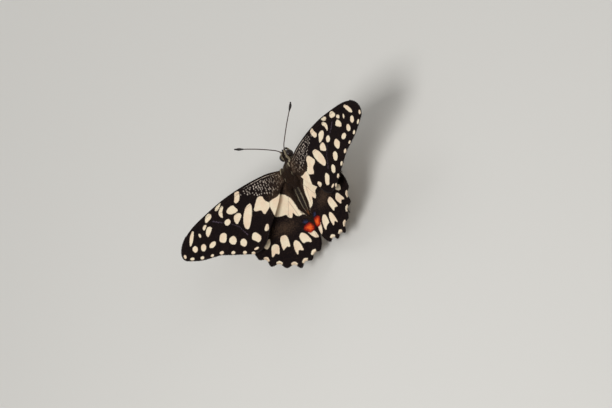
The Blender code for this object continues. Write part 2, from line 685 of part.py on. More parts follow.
def build():
    clear_scene()
    finishes = make_materials()
    root = empty("lime_butterfly")
    body = empty("body_axis", root)
    body.location = (0.0, 0.0, HINGE_HEIGHT * MM)
    body.rotation_euler = (-radians(BODY_PITCH), 0.0, 0.0)
    body_turn = Matrix.Rotation(-radians(BODY_PITCH), 3, "X")
    placings = {
        side: (sheet_matrix(side, FORE_RISE, FORE_TILT, FORE_HINGE),
               sheet_matrix(side, HIND_RISE, HIND_TILT, HIND_HINGE))
        for side in (1, -1)
    }
    make_head(finishes["fur"], body)
    make_thorax(finishes["fur"], body, placings)
    make_abdomen(finishes["scales"], body)
    make_tongue(finishes["tongue"], body)
    for side in (1, -1):
        fore, hind = placings[side]
        dome("eye_" + side_name(side), side, finishes["eye"], body)
        make_antenna(side, finishes["antenna"], body)
        make_palp(side, finishes["fur"], body)
        wing("forewing_" + side_name(side), fore_outline(), FORE_VEINS, fore_arch, side, fore,
             finishes["fore"], body)
        wing("hindwing_" + side_name(side), hind_outline(), HIND_VEINS, hind_arch, side, hind,
             finishes["hind"], body)
        for place in LEG_SOCKETS:
            make_leg(place, side, body_turn, finishes["leg"], root)
    centre_on_floor(root)


build()
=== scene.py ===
# %% [markdown]
# # A lime butterfly, dressed over its frame
#
# The solids give the butterfly's true size and pose. This script builds what the eye sees:
# thin wings with their markings, a furry body, faceted eyes, ringed feelers, jointed legs and a
# coiled tongue. Everything is a real mesh, so that it also holds up outside Blender.
# Sizes are thought of in millimetres, and become metres where a mesh is made.

# %% Load the frame
from math import cos, pi, radians, sin

import bpy
import numpy as np
from mathutils import Euler, Matrix, Vector, geometry


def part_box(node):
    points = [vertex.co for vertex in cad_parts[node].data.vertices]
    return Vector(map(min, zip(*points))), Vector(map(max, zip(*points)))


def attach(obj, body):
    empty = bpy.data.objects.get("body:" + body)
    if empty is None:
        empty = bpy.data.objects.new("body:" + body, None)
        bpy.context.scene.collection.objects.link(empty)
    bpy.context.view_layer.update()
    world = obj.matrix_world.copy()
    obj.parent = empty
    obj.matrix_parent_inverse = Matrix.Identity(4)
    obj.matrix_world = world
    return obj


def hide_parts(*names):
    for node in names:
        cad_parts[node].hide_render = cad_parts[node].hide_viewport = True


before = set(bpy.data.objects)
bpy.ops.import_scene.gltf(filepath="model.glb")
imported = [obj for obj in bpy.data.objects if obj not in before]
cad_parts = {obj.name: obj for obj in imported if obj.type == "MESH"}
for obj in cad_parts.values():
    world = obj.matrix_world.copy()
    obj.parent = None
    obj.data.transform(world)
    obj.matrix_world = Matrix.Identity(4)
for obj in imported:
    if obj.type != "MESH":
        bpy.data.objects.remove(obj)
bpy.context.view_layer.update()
MM = 0.001
SIDES = ((1, "left"), (-1, "right"))
rng = np.random.default_rng(7)
print("frame loaded:", len(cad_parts), "nodes")

# %% [markdown]
# ## Two frames of reference
#
# The body leans back by six degrees, so its parts are easier to place in a frame of its own: X to
# the butterfly's left, Y towards the tail, Z up through the back, zero between the wing hinges.
# The eye's solid tells where that frame stands, because its centre is a known point of it.
# Each wing is drawn on a flat sheet, (out, back), which is then arched, tilted and raised.

# %% Body frame and wing sheets
BODY_PITCH, HINGE_HEIGHT = radians(6.0), 11.5
EYE_CENTRE = (-8.3, -1.95)
low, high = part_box("eye_left")
eye_y = EYE_CENTRE[0] * cos(BODY_PITCH) + EYE_CENTRE[1] * sin(BODY_PITCH)
BODY_ORIGIN = np.array([0.0, (low.y + high.y) / 2 / MM - eye_y, HINGE_HEIGHT])
BODY_TURN = np.array(Matrix.Rotation(-BODY_PITCH, 3, "X"))


def body_to_world(points):
    """Takes body-frame points in millimetres to the floor frame, also in millimetres."""
    return np.asarray(points, float) @ BODY_TURN.T + BODY_ORIGIN


FORE = {"rise": 15.4, "tilt": 0.9, "hinge": 0.0}
HIND = {"rise": 14.8, "tilt": -10.0, "hinge": -0.7}


def fore_arch(out, back):
    """How high the forewing's arched sheet stands over the flat one."""
    t = out / 45.0
    rise = 0.6 * np.sin(pi * np.clip(t, 0.0, 1.1))
    return rise - 0.5 * t ** 3 - 0.4 * (np.maximum(back, 0.0) / 16.0) ** 2


def hind_arch(out, back):
    """The same for the hindwing."""
    return 0.45 * np.sin(pi * np.clip(back / 28.0, 0.0, 1.0))


def sheet_to_world(wing, side, out, back, height):
    """Places points of a wing's sheet. height is measured from the flat sheet."""
    turn = np.array(Euler((radians(wing["tilt"]), -side * radians(wing["rise"]), 0.0)).to_matrix())
    points = np.stack([side * out, back, height], axis=1) @ turn.T
    points[:, 2] += wing["hinge"]
    return body_to_world(points)


print("body frame at", BODY_ORIGIN.round(2), "mm")

# %% [markdown]
# ## Helpers for meshes
#
# Big meshes are made straight from arrays, which takes a fraction of a second where a loop over
# faces would take minutes. Extra numbers for a pattern ride along as point attributes, which the
# materials read by name.

# %% Meshes from arrays


def make_mesh(name, points, faces, finish=None, numbers=None, smooth=True):
    """Makes an object from points in millimetres and an array of triangles or quads."""
    mesh = bpy.data.meshes.new(name)
    faces = np.ascontiguousarray(faces, np.int32)
    mesh.vertices.add(len(points))
    mesh.vertices.foreach_set("co", (np.asarray(points) * MM).astype(np.float32).ravel())
    mesh.loops.add(faces.size)
    mesh.loops.foreach_set("vertex_index", faces.ravel())
    mesh.polygons.add(len(faces))
    mesh.polygons.foreach_set("loop_start", np.arange(0, faces.size, faces.shape[1], dtype=np.int32))
    mesh.update(calc_edges=True)
    if smooth:
        mesh.shade_smooth()
    for key, values in (numbers or {}).items():
        values = np.asarray(values, np.float32)
        kind = "FLOAT_VECTOR" if values.ndim == 2 else "FLOAT"
        field = "vector" if values.ndim == 2 else "value"
        mesh.attributes.new(key, kind, "POINT").data.foreach_set(field, values.ravel())
    if finish:
        mesh.materials.append(finish)
    piece = bpy.data.objects.new(name, mesh)
    bpy.context.scene.collection.objects.link(piece)
    return piece


def add_uv(piece, name, places):
    """Writes a UV map whose places are given for each point, or for each corner of each face."""
    mesh, places = piece.data, np.asarray(places, np.float32)
    if places.ndim == 2:
        corners = np.empty(len(mesh.loops), np.int32)
        mesh.loops.foreach_get("vertex_index", corners)
        places = places[corners]
    mesh.uv_layers.new(name=name).data.foreach_set("uv", places.ravel())


def hand_over(piece, slot, *nodes):
    """Lets a finished piece ride with the butterfly and stand for the solids that it covers."""
    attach(piece, "root")
    if nodes:
        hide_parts(*nodes)
    triangles = sum(len(p.vertices) - 2 for p in piece.data.polygons)
    print(f"{piece.name}: {triangles} triangles")
    return piece


# %% [markdown]
# ## Curves
#
# One smooth curve through a few points serves everywhere: for outlines, veins, spots, feelers and
# legs. A Catmull-Rom curve passes through the points that it is given, so each can be read off.

# %% Smooth curves


def curve_through(points, step, closed=False):
    """Samples a smooth curve through the points, about every step."""
    knots = [np.array(p, float) for p in points]
    if closed:
        knots = [knots[-1]] + knots + knots[:2]
    else:
        knots = [2 * knots[0] - knots[1]] + knots + [2 * knots[-1] - knots[-2]]
    samples = []
    for i in range(1, len(knots) - 2):
        before, start, end, after = knots[i - 1:i + 3]
        count = max(1, int(np.ceil(np.linalg.norm(end - start) / step)))
        t = (np.arange(count) / count)[:, None]
        bend = (2 * before - 5 * start + 4 * end - after) * t * t
        twist = (3 * start - before - 3 * end + after) * t ** 3
        samples.append(0.5 * (2 * start + (end - before) * t + bend + twist))
    samples = np.concatenate(samples)
    return samples if closed else np.vstack([samples, knots[-2]])


def lengths_along(line):
    """The length of a line from its start to each of its points."""
    return np.concatenate([[0], np.cumsum(np.linalg.norm(np.diff(line, axis=0), axis=1))])


def distance_to_line(points, line):
    """Each point's distance to the nearest place of a line."""
    best = np.full(len(points), 1e9)
    for a, b in zip(line, line[1:]):
        run = b - a
        t = np.clip((points - a) @ run / max(run @ run, 1e-12), 0.0, 1.0)
        best = np.minimum(best, np.hypot(*(points - a - t[:, None] * run).T))
    return best


def inside(points, rim):
    """Whether each point lies inside a closed outline."""
    crossed = np.zeros(len(points), bool)
    for a, b in zip(rim, np.roll(rim, -1, axis=0)):
        spans = (a[1] > points[:, 1]) != (b[1] > points[:, 1])
        rise = np.where(spans, b[1] - a[1], 1.0)
        crossed ^= spans & (points[:, 0] < a[0] + (points[:, 1] - a[1]) * (b[0] - a[0]) / rise)
    return crossed


def depth_in(points, shapes, reach=1.0):
    """How deep each point lies in the nearest closed shape: positive inside, negative outside."""
    depth = np.full(len(points), -reach)
    for rim in shapes:
        near = np.all((points > rim.min(0) - reach) & (points < rim.max(0) + reach), axis=1)
        if near.any():
            close = points[near]
            edge = distance_to_line(close, np.vstack([rim, rim[:1]]))
            depth[near] = np.maximum(depth[near], np.where(inside(close, rim), edge, -edge))
    return depth


def oval(out, back, half_out, half_back, turn=0.0):
    """A rounded spot as a closed shape."""
    angle = np.arange(16) * 2 * pi / 16
    x, y = half_out * np.cos(angle), half_back * np.sin(angle)
    c, s = cos(radians(turn)), sin(radians(turn))
    return np.stack([out + c * x - s * y, back + s * x + c * y], axis=1)


def blob(*points):
    """A spot through a few points of its edge as a closed, smooth shape."""
    return curve_through(points, 0.35, closed=True)


def streak(points, widths):
    """A tapered stroke along a line as a closed shape."""
    line = curve_through(points, 0.5)
    run = np.gradient(line, axis=0)
    normal = np.stack([-run[:, 1], run[:, 0]], axis=1) / np.linalg.norm(run, axis=1)[:, None]
    half = np.interp(np.linspace(0, 1, len(line)), np.linspace(0, 1, len(widths)), widths) / 2
    return np.vstack([line + normal * half[:, None], (line - normal * half[:, None])[::-1]])


print("helpers ready")

# %% [markdown]
# ## Wing outlines and veins
#
# A butterfly's wing is a membrane stretched over stiff veins. The forewing is a long triangle with
# a slightly hollow outer edge. The hindwing is rounder, and its edge is scalloped: it reaches
# furthest at each vein's end. The veins start at the root, run round a long closed cell and
# branch to the edge.

# %% Outlines and veins
FORE_RIM = [(2.0, -3.1), (6.0, -4.6), (9.6, -5.2), (16.8, -5.45), (23.9, -5.05), (29.5, -4.2),
            (38.0, -2.3), (42.4, -0.4), (44.9, 1.9), (46.1, 4.6), (45.6, 7.0), (43.6, 8.5),
            (39.6, 10.6), (35.4, 11.9), (32.4, 12.8), (28.2, 15.1), (24.0, 17.3), (21.3, 18.7),
            (19.2, 19.0), (17.2, 18.4), (15.3, 16.9), (13.3, 14.1), (10.2, 10.7), (6.8, 6.4),
            (4.7, 2.9), (2.0, 0.9)]
HIND_FRONT = [(1.7, 0.1), (4.4, 0.9), (8.5, 2.6), (13.5, 5.0), (18.6, 8.8), (21.6, 12.6), (22.7, 16.2),
              (22.3, 19.3)]
HIND_LOBES = [(22.3, 19.3), (19.3, 23.6), (14.6, 26.7), (9.9, 29.3), (5.4, 28.7), (1.3, 27.3)]
HIND_INNER = [(1.3, 27.3), (0.0, 25.4), (-0.6, 23.4), (-0.98, 21.0), (-0.95, 18.5), (-0.7, 16.6),
              (-0.1, 14.6), (0.6, 12.2), (1.15, 9.5), (1.5, 7.0), (1.6, 5.5), (1.6, 4.4)]
SCALLOP_DEPTH = 1.15
FORE_VEINS = {
    "subcosta": [(2.2, -2.6), (12.0, -4.5), (20.0, -4.6), (25.5, -4.0)],
    "radius": [(2.2, -2.0), (10.0, -3.4), (18.0, -3.6), (25.2, -2.8)],
    "radius_1": [(15.5, -3.7), (21.0, -3.9), (27.5, -3.7), (31.0, -3.35)],
    "radius_2": [(22.0, -3.3), (28.0, -3.0), (35.0, -2.3), (38.8, -1.9)],
    "radius_3": [(25.2, -2.8), (33.0, -2.1), (40.0, -0.2), (45.0, 2.9)],
    "radius_4": [(25.2, -2.8), (31.5, -0.9), (37.5, 1.0), (41.2, 3.9), (44.4, 7.4)],
    "radius_5": [(31.5, -0.9), (37.3, 3.6), (41.1, 9.3)],
    "cell_end": [(25.2, -2.8), (26.5, -0.9), (25.9, 1.3), (23.4, 2.7)],
    "medial_1": [(26.5, -0.9), (30.0, -0.6), (33.6, 4.3), (37.5, 10.8)],
    "medial_2": [(25.9, 1.3), (28.6, 3.6), (31.2, 7.6), (33.9, 11.8)],
    "cubitus": [(2.2, -1.4), (9.0, 0.2), (15.4, 2.0), (20.0, 2.8), (23.4, 2.7)],
    "medial_3": [(23.4, 2.7), (25.5, 6.2), (27.8, 9.6), (30.2, 13.7)],
    "cubital_1": [(20.0, 2.8), (21.1, 5.0), (23.7, 10.0), (26.3, 15.7)],
    "cubital_2": [(15.4, 2.0), (16.6, 4.3), (18.0, 7.6), (20.3, 12.3), (22.7, 17.6)],
    "anal": [(2.2, -0.6), (6.5, 1.5), (9.3, 4.2), (11.0, 8.4), (13.8, 13.4), (18.3, 18.4)],
}
HIND_VEINS = {
    "subcosta": [(2.2, 2.2), (8.0, 3.6), (14.0, 6.9), (19.0, 11.2), (22.3, 15.4)],
    "radius": [(2.2, 2.6), (8.0, 5.0), (12.3, 8.7), (18.0, 13.6), (22.1, 19.0)],
    "cell_end": [(12.3, 8.7), (12.7, 11.3), (11.2, 12.6), (8.8, 12.8)],
    "medial_1": [(12.7, 11.3), (16.4, 17.9), (19.2, 23.3)],
    "medial_2": [(11.2, 12.6), (13.6, 20.4), (14.6, 26.5)],
    "medial_3": [(8.8, 12.8), (9.9, 21.5), (9.9, 29.1)],
    "cubitus": [(2.2, 3.2), (4.4, 7.2), (6.3, 11.0), (8.8, 12.8)],
    "cubital_1": [(6.3, 11.0), (6.1, 20.5), (5.4, 28.4)],
    "cubital_2": [(4.4, 7.2), (3.2, 13.0), (2.2, 21.5), (1.3, 27.0)],
    "anal": [(2.4, 3.8), (2.6, 8.5), (1.5, 14.0), (0.4, 19.0), (0.3, 24.8)],
}
RIM_STEP = 0.22


def hind_rim():
    """The hindwing's outline, with a hollow between each pair of vein ends."""
    parts = [curve_through(HIND_FRONT, RIM_STEP)[:-1]]
    for start, end in zip(HIND_LOBES, HIND_LOBES[1:]):
        start, end = np.array(start), np.array(end)
        chord = end - start
        inward = np.array([-chord[1], chord[0]]) / np.linalg.norm(chord)
        t = np.arange(0, 1, RIM_STEP / np.linalg.norm(chord))[:, None]
        parts.append(start + chord * t + inward * SCALLOP_DEPTH * np.sin(pi * t) ** 2)
    parts.append(curve_through(HIND_INNER, RIM_STEP))
    return np.vstack(parts)


FORE_RIM_LINE, HIND_RIM_LINE = curve_through(FORE_RIM, RIM_STEP), hind_rim()
print("rim points:", len(FORE_RIM_LINE), "and", len(HIND_RIM_LINE))


# %% [markdown]
# ## Markings of the upper side
#
# The wings are near-black with cream spots. Every spot is written as a closed shape on the flat
# sheet, and each point of the wing is then told how deep it lies in the nearest one. The material
# turns that depth into a crisp or a dusty edge, so the pattern needs no picture and stays sharp
# however close one looks.

# %% Spots of the forewing's upper side
FORE_SPOTS = [
    blob((18.8, -4.2), (19.4, -4.8), (20.4, -4.7), (20.9, -3.3), (21.6, -1.9), (21.2, -1.1),
         (20.1, -1.3), (19.3, -2.4)),
    blob((21.4, 1.5), (22.0, 0.0), (22.4, -0.8), (23.3, -1.2), (24.9, -0.8), (25.4, 0.2),
         (24.4, 1.4), (23.0, 1.9), (21.9, 1.9)),
    blob((25.9, -2.7), (26.6, -2.9), (27.5, -2.2), (28.3, -1.1), (28.1, 0.1), (27.4, 1.0),
         (27.1, 0.0), (26.8, -1.1), (26.1, -1.9)),
    blob((26.2, -4.6), (27.4, -4.4), (28.6, -3.7), (29.2, -2.7), (28.4, -2.4), (27.2, -3.0)),
    blob((20.8, 4.1), (21.0, 3.0), (22.0, 2.5), (23.2, 2.8), (23.7, 3.9), (23.7, 5.1),
         (23.2, 6.0), (22.3, 5.5), (21.5, 4.8)),
    oval(26.3, 3.5, 1.15, 1.1, -20),
    blob((16.3, 2.1), (16.9, 1.7), (18.1, 2.1), (19.3, 3.3), (20.4, 5.2), (21.0, 7.1),
         (21.0, 8.8), (20.3, 9.7), (19.4, 9.3), (18.1, 7.5), (17.1, 5.7), (16.4, 3.8)),
    blob((31.0, -2.1), (31.5, -3.0), (32.5, -3.1), (33.4, -2.3), (33.9, -1.1), (33.4, -0.5),
         (32.5, -0.7), (31.6, -1.1)),
    blob((33.9, 0.2), (34.7, -0.2), (35.5, 0.5), (35.3, 1.5), (34.7, 1.3)),
    blob((32.3, 2.4), (32.9, 1.4), (33.8, 1.2), (34.7, 2.1), (35.1, 3.2), (34.8, 4.3),
         (34.2, 4.2), (33.1, 3.3)),
    oval(37.4, 2.3, 0.4, 0.8, 10),
    blob((39.1, -0.3), (39.6, -0.7), (40.4, 0.0), (41.3, 1.1), (41.9, 2.6), (42.1, 3.6),
         (41.6, 3.7), (40.8, 2.9), (40.0, 1.7)),
    oval(40.7, 5.7, 0.95, 1.2, 15),
    oval(37.6, 6.9, 1.0, 1.25, -10),
    oval(34.1, 7.8, 1.35, 0.95, 10),
    blob((28.2, 7.2), (28.9, 6.2), (30.0, 6.1), (30.8, 7.0), (31.2, 8.2), (30.7, 8.9),
         (29.7, 9.5), (28.9, 9.1)),
    blob((25.4, 10.6), (25.7, 9.4), (26.6, 9.0), (27.7, 9.4), (28.0, 10.5), (27.4, 11.6),
         (26.5, 12.0), (25.7, 11.6)),
    blob((22.2, 13.2), (22.7, 12.1), (23.6, 11.8), (24.4, 12.5), (24.5, 13.5), (23.7, 14.5),
         (23.0, 14.7), (22.4, 14.1)),
    blob((16.9, 14.5), (17.3, 13.3), (18.2, 12.2), (19.0, 12.0), (19.8, 12.9), (20.0, 13.9),
         (19.2, 14.9), (18.3, 15.9), (17.3, 15.6)),
    blob((12.9, 12.1), (13.4, 11.6), (14.0, 11.9), (14.8, 12.9), (14.6, 13.7), (13.8, 13.9),
         (13.2, 13.2)),
    blob((11.5, 2.1), (12.3, 1.3), (13.4, 1.3), (14.4, 2.4), (15.3, 3.6), (15.9, 4.6),
         (15.6, 5.3), (14.6, 5.7), (13.7, 6.0), (13.4, 6.7), (13.1, 7.7), (12.6, 8.0),
         (11.8, 7.5), (11.0, 7.1), (10.3, 6.4), (10.0, 5.5), (10.3, 4.7), (11.0, 3.9),
         (11.4, 3.0)),
    blob((4.9, 4.2), (6.8, 4.6), (8.4, 4.6), (9.7, 4.9), (10.3, 5.6), (10.2, 7.0), (10.0, 8.6),
         (9.8, 10.3), (8.6, 11.2), (5.6, 8.4)),
    oval(45.2, 6.0, 0.48, 0.80, 8), oval(42.9, 8.2, 0.85, 0.48, -32), oval(39.3, 9.9, 0.72, 0.55, -28),
    oval(35.6, 11.2, 0.62, 0.45, -18), oval(32.0, 12.2, 0.78, 0.60, -15),
    oval(28.1, 14.4, 0.78, 0.55, -28), oval(24.2, 16.6, 0.72, 0.55, -30), oval(21.4, 18.4, 0.65, 0.48, -20),
    oval(19.8, 17.5, 0.9, 0.42, -5),
]


COSTAL_LINE = streak([(4.5, -3.3), (8.5, -4.25), (13.5, -4.55), (17.0, -4.5)], [0.10, 0.17, 0.14, 0.05])


def dash_rows():
    """Broken, wavering cross lines of pale scales over the forewing's base.

    Towards the root they are fine and close, and further out they swell into loose dots."""
    dashes = [COSTAL_LINE]
    for row in range(22):
        out = 3.4 + 0.62 * row + 0.006 * row * row
        front = np.interp(out, [4, 10, 19], [-3.0, -3.9, -4.2])
        rear = np.interp(out, [3, 8, 10, 12, 15, 19], [1.0, 4.3, 3.0, 1.1, -0.1, -2.6])
        coarse = np.interp(out, [7, 13], [0.0, 1.0])
        back = front + rng.uniform(0.0, 0.5)
        while back < rear:
            long = rng.uniform(0.5, 1.3) * (1.0 - 0.5 * coarse)
            wide = rng.uniform(0.09, 0.14) + coarse * rng.uniform(0.10, 0.30)
            if rng.random() < np.interp(out, [4, 13, 19], [0.8, 0.85, 0.55]):
                waver = 0.32 * np.sin(1.7 * back + row) + rng.uniform(-0.16, 0.16) - 0.30 * (back - front)
                lean = rng.uniform(-0.25, 0.15)
                dashes.append(streak([(out + waver, back), (out + waver + lean / 2, back + long / 2),
                                      (out + waver + lean, back + long)], [wide * 0.6, wide, wide * 0.5]))
            back += long + rng.uniform(0.22, 0.55)
    return dashes


print("forewing:", len(FORE_SPOTS), "spots")


# %% [markdown]
# The hindwing repeats the plan with one large cream patch, a row of notched spots behind it, and a
# pale crescent in each hollow of its rim, which makes the rim look more deeply cut than it is.

# %% Spots of the hindwing's upper side
HIND_PATCH = [
    blob((-0.2, 16.0), (0.3, 14.4), (1.3, 13.1), (2.1, 11.9), (2.4, 10.3), (2.7, 8.4), (3.2, 6.9),
         (4.1, 5.5), (4.9, 4.5), (6.5, 3.6), (8.6, 3.3), (11.5, 3.8), (14.2, 5.3), (14.6, 7.0),
         (12.6, 8.6), (11.2, 9.2), (10.3, 9.9), (8.8, 10.5), (7.2, 10.9), (6.7, 12.0), (6.2, 12.7),
         (5.5, 12.7), (5.0, 12.0), (4.7, 11.5), (4.4, 11.9), (3.9, 12.9), (3.1, 13.7), (2.2, 13.8),
         (1.3, 14.0), (0.6, 14.9)),
]
HIND_SPOTS = HIND_PATCH + [
    blob((2.6, 23.3), (2.8, 21.8), (3.4, 20.4), (4.3, 19.3), (5.3, 19.1), (6.1, 20.0), (6.0, 21.5),
         (5.5, 22.5), (4.6, 22.6), (3.8, 22.9), (3.2, 23.5)),
    blob((6.6, 24.2), (6.7, 21.9), (7.4, 20.5), (8.3, 20.2), (9.1, 21.3), (9.4, 23.0), (9.3, 24.6),
         (8.9, 24.6), (8.4, 23.8), (7.7, 23.8), (7.1, 24.4)),
    blob((10.0, 19.4), (9.9, 17.8), (10.3, 16.9), (11.4, 16.5), (12.4, 17.0), (12.9, 18.7),
         (13.1, 21.0), (12.6, 20.9), (11.4, 20.5), (10.7, 21.1), (10.3, 20.8)),
    blob((13.9, 19.0), (14.5, 18.0), (15.6, 17.6), (16.5, 18.1), (17.1, 19.4), (17.6, 20.8),
         (17.3, 21.2), (16.3, 20.7), (15.8, 20.7), (15.1, 21.4), (14.6, 20.8)),
    blob((15.9, 15.4), (16.7, 15.2), (18.1, 15.9), (18.9, 16.4), (18.6, 17.5), (18.1, 17.9),
         (17.0, 17.4), (16.2, 16.5)),
    blob((18.2, 11.4), (19.0, 11.2), (20.3, 12.3), (20.9, 13.6), (20.2, 14.0), (19.0, 12.8)),
    blob((-0.2, 23.3), (-0.1, 21.9), (0.4, 20.7), (1.7, 20.7), (2.5, 20.2), (1.8, 21.7),
         (1.0, 22.9)),
]


def notch_lunules():
    """A small cream crescent that fills the bottom of each notch of the hindwing's edge."""
    marks = []
    for start, end in zip(HIND_LOBES, HIND_LOBES[1:]):
        middle, chord = (np.array(start) + end) / 2, np.subtract(end, start)
        along = chord / np.linalg.norm(chord)
        inward = np.array([-along[1], along[0]])
        line = [middle + inward * (SCALLOP_DEPTH + rise) + along * reach
                for reach, rise in ((-1.1, -0.05), (0.0, 0.36), (1.1, -0.05))]
        marks.append(streak(line, [0.55, 1.0, 0.55]))
    return marks


HIND_SPOTS += notch_lunules()
RED_SPOT = [blob((-0.4, 18.8), (0.1, 17.8), (1.4, 17.5), (2.9, 17.9), (3.2, 18.7), (2.5, 19.7),
                 (1.7, 20.7), (0.7, 20.6), (0.0, 20.2))]
BLUE_SPOTS = [oval(1.8, 16.6, 0.8, 0.45, -15), oval(16.6, 10.4, 0.8, 0.5, 40)]
print("hindwing:", len(HIND_SPOTS), "cream marks")

# %% [markdown]
# ## Markings of the underside
#
# Underneath the same spots are larger and the ground is paler. Cream streaks run along the
# forewing's cell, and the hindwing is mostly cream, crossed by black bars and a row of black
# patches that carry rust and pale blue. Someone who lifts the model should find them.

# %% Spots of the underside
FORE_STREAKS = [
    streak([(4.0, -2.3), (9.0, -2.9), (16.6, -3.0)], [0.5, 0.75, 0.4]),
    streak([(4.0, -1.7), (9.0, -1.9), (17.0, -1.6)], [0.4, 0.8, 0.5]),
    streak([(4.0, -1.1), (9.0, -0.8), (16.6, -0.2)], [0.4, 0.8, 0.5]),
    streak([(5.0, -0.4), (10.0, 0.5), (15.4, 1.1)], [0.4, 0.7, 0.4]),
    streak([(4.5, 0.8), (7.0, 3.0), (9.6, 6.6)], [0.5, 1.0, 0.6]),
    streak([(6.0, -3.9), (14.0, -4.7), (20.0, -4.8)], [0.3, 0.45, 0.3]),
]
HIND_CREAM = [
    blob((2.4, 2.4), (7.5, 2.9), (13.4, 5.4), (18.3, 9.0), (20.8, 12.0), (19.6, 12.6), (16.5, 10.6),
         (14.0, 12.0), (13.0, 14.2), (9.4, 15.0), (6.0, 15.2), (3.4, 15.6), (1.0, 17.2), (0.1, 16.6),
         (1.2, 12.0), (2.0, 7.0)),
]
HIND_BARS = [
    streak([(3.0, 3.2), (3.8, 7.5), (2.7, 13.0), (1.6, 16.5)], [0.3, 0.55, 0.45, 0.2]),
    streak([(8.2, 2.8), (7.6, 5.5), (5.6, 8.6)], [0.9, 0.8, 0.3]),
    streak([(13.9, 5.6), (12.6, 8.4), (12.5, 11.2), (10.6, 12.9)], [1.1, 0.9, 0.8, 0.5]),
    streak([(5.0, 8.6), (6.6, 11.3), (8.8, 13.0)], [0.3, 0.4, 0.3]),
    streak([(6.2, 11.2), (6.2, 15.4)], [0.35, 0.35]),
    streak([(9.0, 12.9), (9.4, 15.4)], [0.35, 0.35]),
]
RUST_SPOTS = [oval(16.8, 12.6, 1.0, 0.7, 40), oval(14.4, 15.7, 0.75, 1.0, 10), oval(11.6, 15.9, 1.0, 0.6),
              oval(7.8, 16.6, 1.0, 0.65), oval(4.6, 16.7, 0.9, 0.6)]
PALE_BLUES = [oval(17.7, 14.0, 0.7, 0.4, 40), oval(15.1, 17.1, 0.6, 0.4), oval(12.0, 15.0, 0.6, 0.3),
              oval(7.9, 18.0, 0.8, 0.4), oval(4.3, 18.0, 0.7, 0.4), oval(1.6, 17.1, 0.6, 0.35)]
print("spots drawn:", len(FORE_SPOTS), "on the forewing,", len(HIND_SPOTS), "on the hindwing")

# %% [markdown]
# ## Making a wing
#
# A wing is one closed shell. Its net of fine triangles keeps an edge along the rim and along every
# vein, so that the veins can stand up as real ridges, and the membrane sinks a little between
# them, which breaks the light up as it does on a real wing. The shell is far thinner than the
# solid under it, because only the eye has to be pleased here.

# %% The wing's net
NET_STEP = 0.19
VEIN_HEIGHT, VEIN_HALF_WIDTH, PLEAT = 0.10, 0.24, 0.10
MEMBRANE, ROOT_THICKNESS = 0.20, 0.80


def wing_net(rim, veins):
    """Triangulates a sheet. Returns its points, its triangles and the vein lines."""
    lines = [curve_through(way, 0.3) for way in veins.values()]
    points, edges = [rim], [np.stack([np.arange(len(rim)), np.roll(np.arange(len(rim)), -1)], 1)]
    closed, count = np.vstack([rim, rim[:1]]), len(rim)
    for line in lines:
        keep = inside(line, rim) & (distance_to_line(line, closed) > 0.5 * NET_STEP)
        line = line[keep]
        points.append(line)
        edges.append(np.stack([np.arange(len(line) - 1), np.arange(1, len(line))], 1) + count)
        count += len(line)
    low, high = rim.min(0), rim.max(0)
    rows = np.arange(low[1], high[1], NET_STEP * sin(pi / 3))
    places = np.arange(low[0], high[0], NET_STEP)
    staggered = np.concatenate([places + (k % 2) * NET_STEP / 2 for k in range(len(rows))])
    grid = np.column_stack([staggered, np.repeat(rows, len(places))])
    grid = grid[inside(grid, rim)]
    clear = distance_to_line(grid, closed) > 0.55 * NET_STEP
    for line in lines:
        clear &= distance_to_line(grid, line) > 0.45 * NET_STEP
    points.append(grid[clear])
    flat = [Vector(p) for p in np.vstack(points)]
    pairs = [tuple(int(i) for i in e) for e in np.vstack(edges)]
    net, _, triangles, *_ = geometry.delaunay_2d_cdt(flat, pairs, [], 1, 1e-5)
    net, triangles = np.array([tuple(p) for p in net]), np.array([tuple(t) for t in triangles])
    a, b, c = (net[triangles[:, k]] for k in range(3))
    turn = (b[:, 0] - a[:, 0]) * (c[:, 1] - a[:, 1]) - (b[:, 1] - a[:, 1]) * (c[:, 0] - a[:, 0])
    triangles[turn < 0] = triangles[turn < 0][:, ::-1]
    return net, triangles, lines


print("net step", NET_STEP, "mm")

# %% [markdown]
# ### Closing the sheet
#
# The net is used twice, once for the upper face and once for the lower one, and a wall along the
# rim joins them. Each of the three gets its own place in the unwrap. Towards the root the two
# faces part, because the solid under them is thickest where it meets the body.

# %% The wing's shell


def shell_faces(triangles, count, side):
    """The upper face, the lower face and the wall along the rim, all facing out."""
    ways = np.vstack([triangles[:, [0, 1]], triangles[:, [1, 2]], triangles[:, [2, 0]]])
    key = np.sort(ways, axis=1)
    key = key[:, 0] * count + key[:, 1]
    _, where, times = np.unique(key, return_index=True, return_counts=True)
    rim = ways[where[times == 1]]
    start, end = rim[:, 0], rim[:, 1]
    wall = np.vstack([np.stack([end, start, start + count], 1),
                      np.stack([end, start + count, end + count], 1)])
    faces = np.vstack([triangles, triangles[:, ::-1] + count, wall])
    return faces if side > 0 else faces[:, ::-1]


def bake_map(net, faces, upper_count):
    """Lays the upper face, the lower face and the rim's wall beside one another, corner by corner."""
    flat = net - net.min(0)
    if np.ptp(net[:, 1]) > np.ptp(net[:, 0]):
        flat = flat[:, ::-1]
    flat = 0.01 + flat * min(0.97 / flat[:, 0].max(), 0.46 / flat[:, 1].max())
    places = flat[faces % len(net)]
    places[upper_count:, :, 1] += 0.48
    wall = faces[2 * upper_count:]
    count = len(wall) // 2
    quad = np.tile(np.arange(count), 2)[:, None]
    start = np.tile(wall[:count, 1], 2)[:, None]
    along = (quad + 0.8 * (wall % len(net) != start)) / count
    places[2 * upper_count:] = np.stack([0.01 + 0.98 * along, np.where(wall >= len(net), 0.99, 0.97)], -1)
    return places


def root_share(out):
    """One at the root of a wing, falling smoothly to nothing a few millimetres further out."""
    share = 1.0 - np.clip((out - 3.3) / 2.4, 0.0, 1.0)
    return share * share * (3.0 - 2.0 * share)


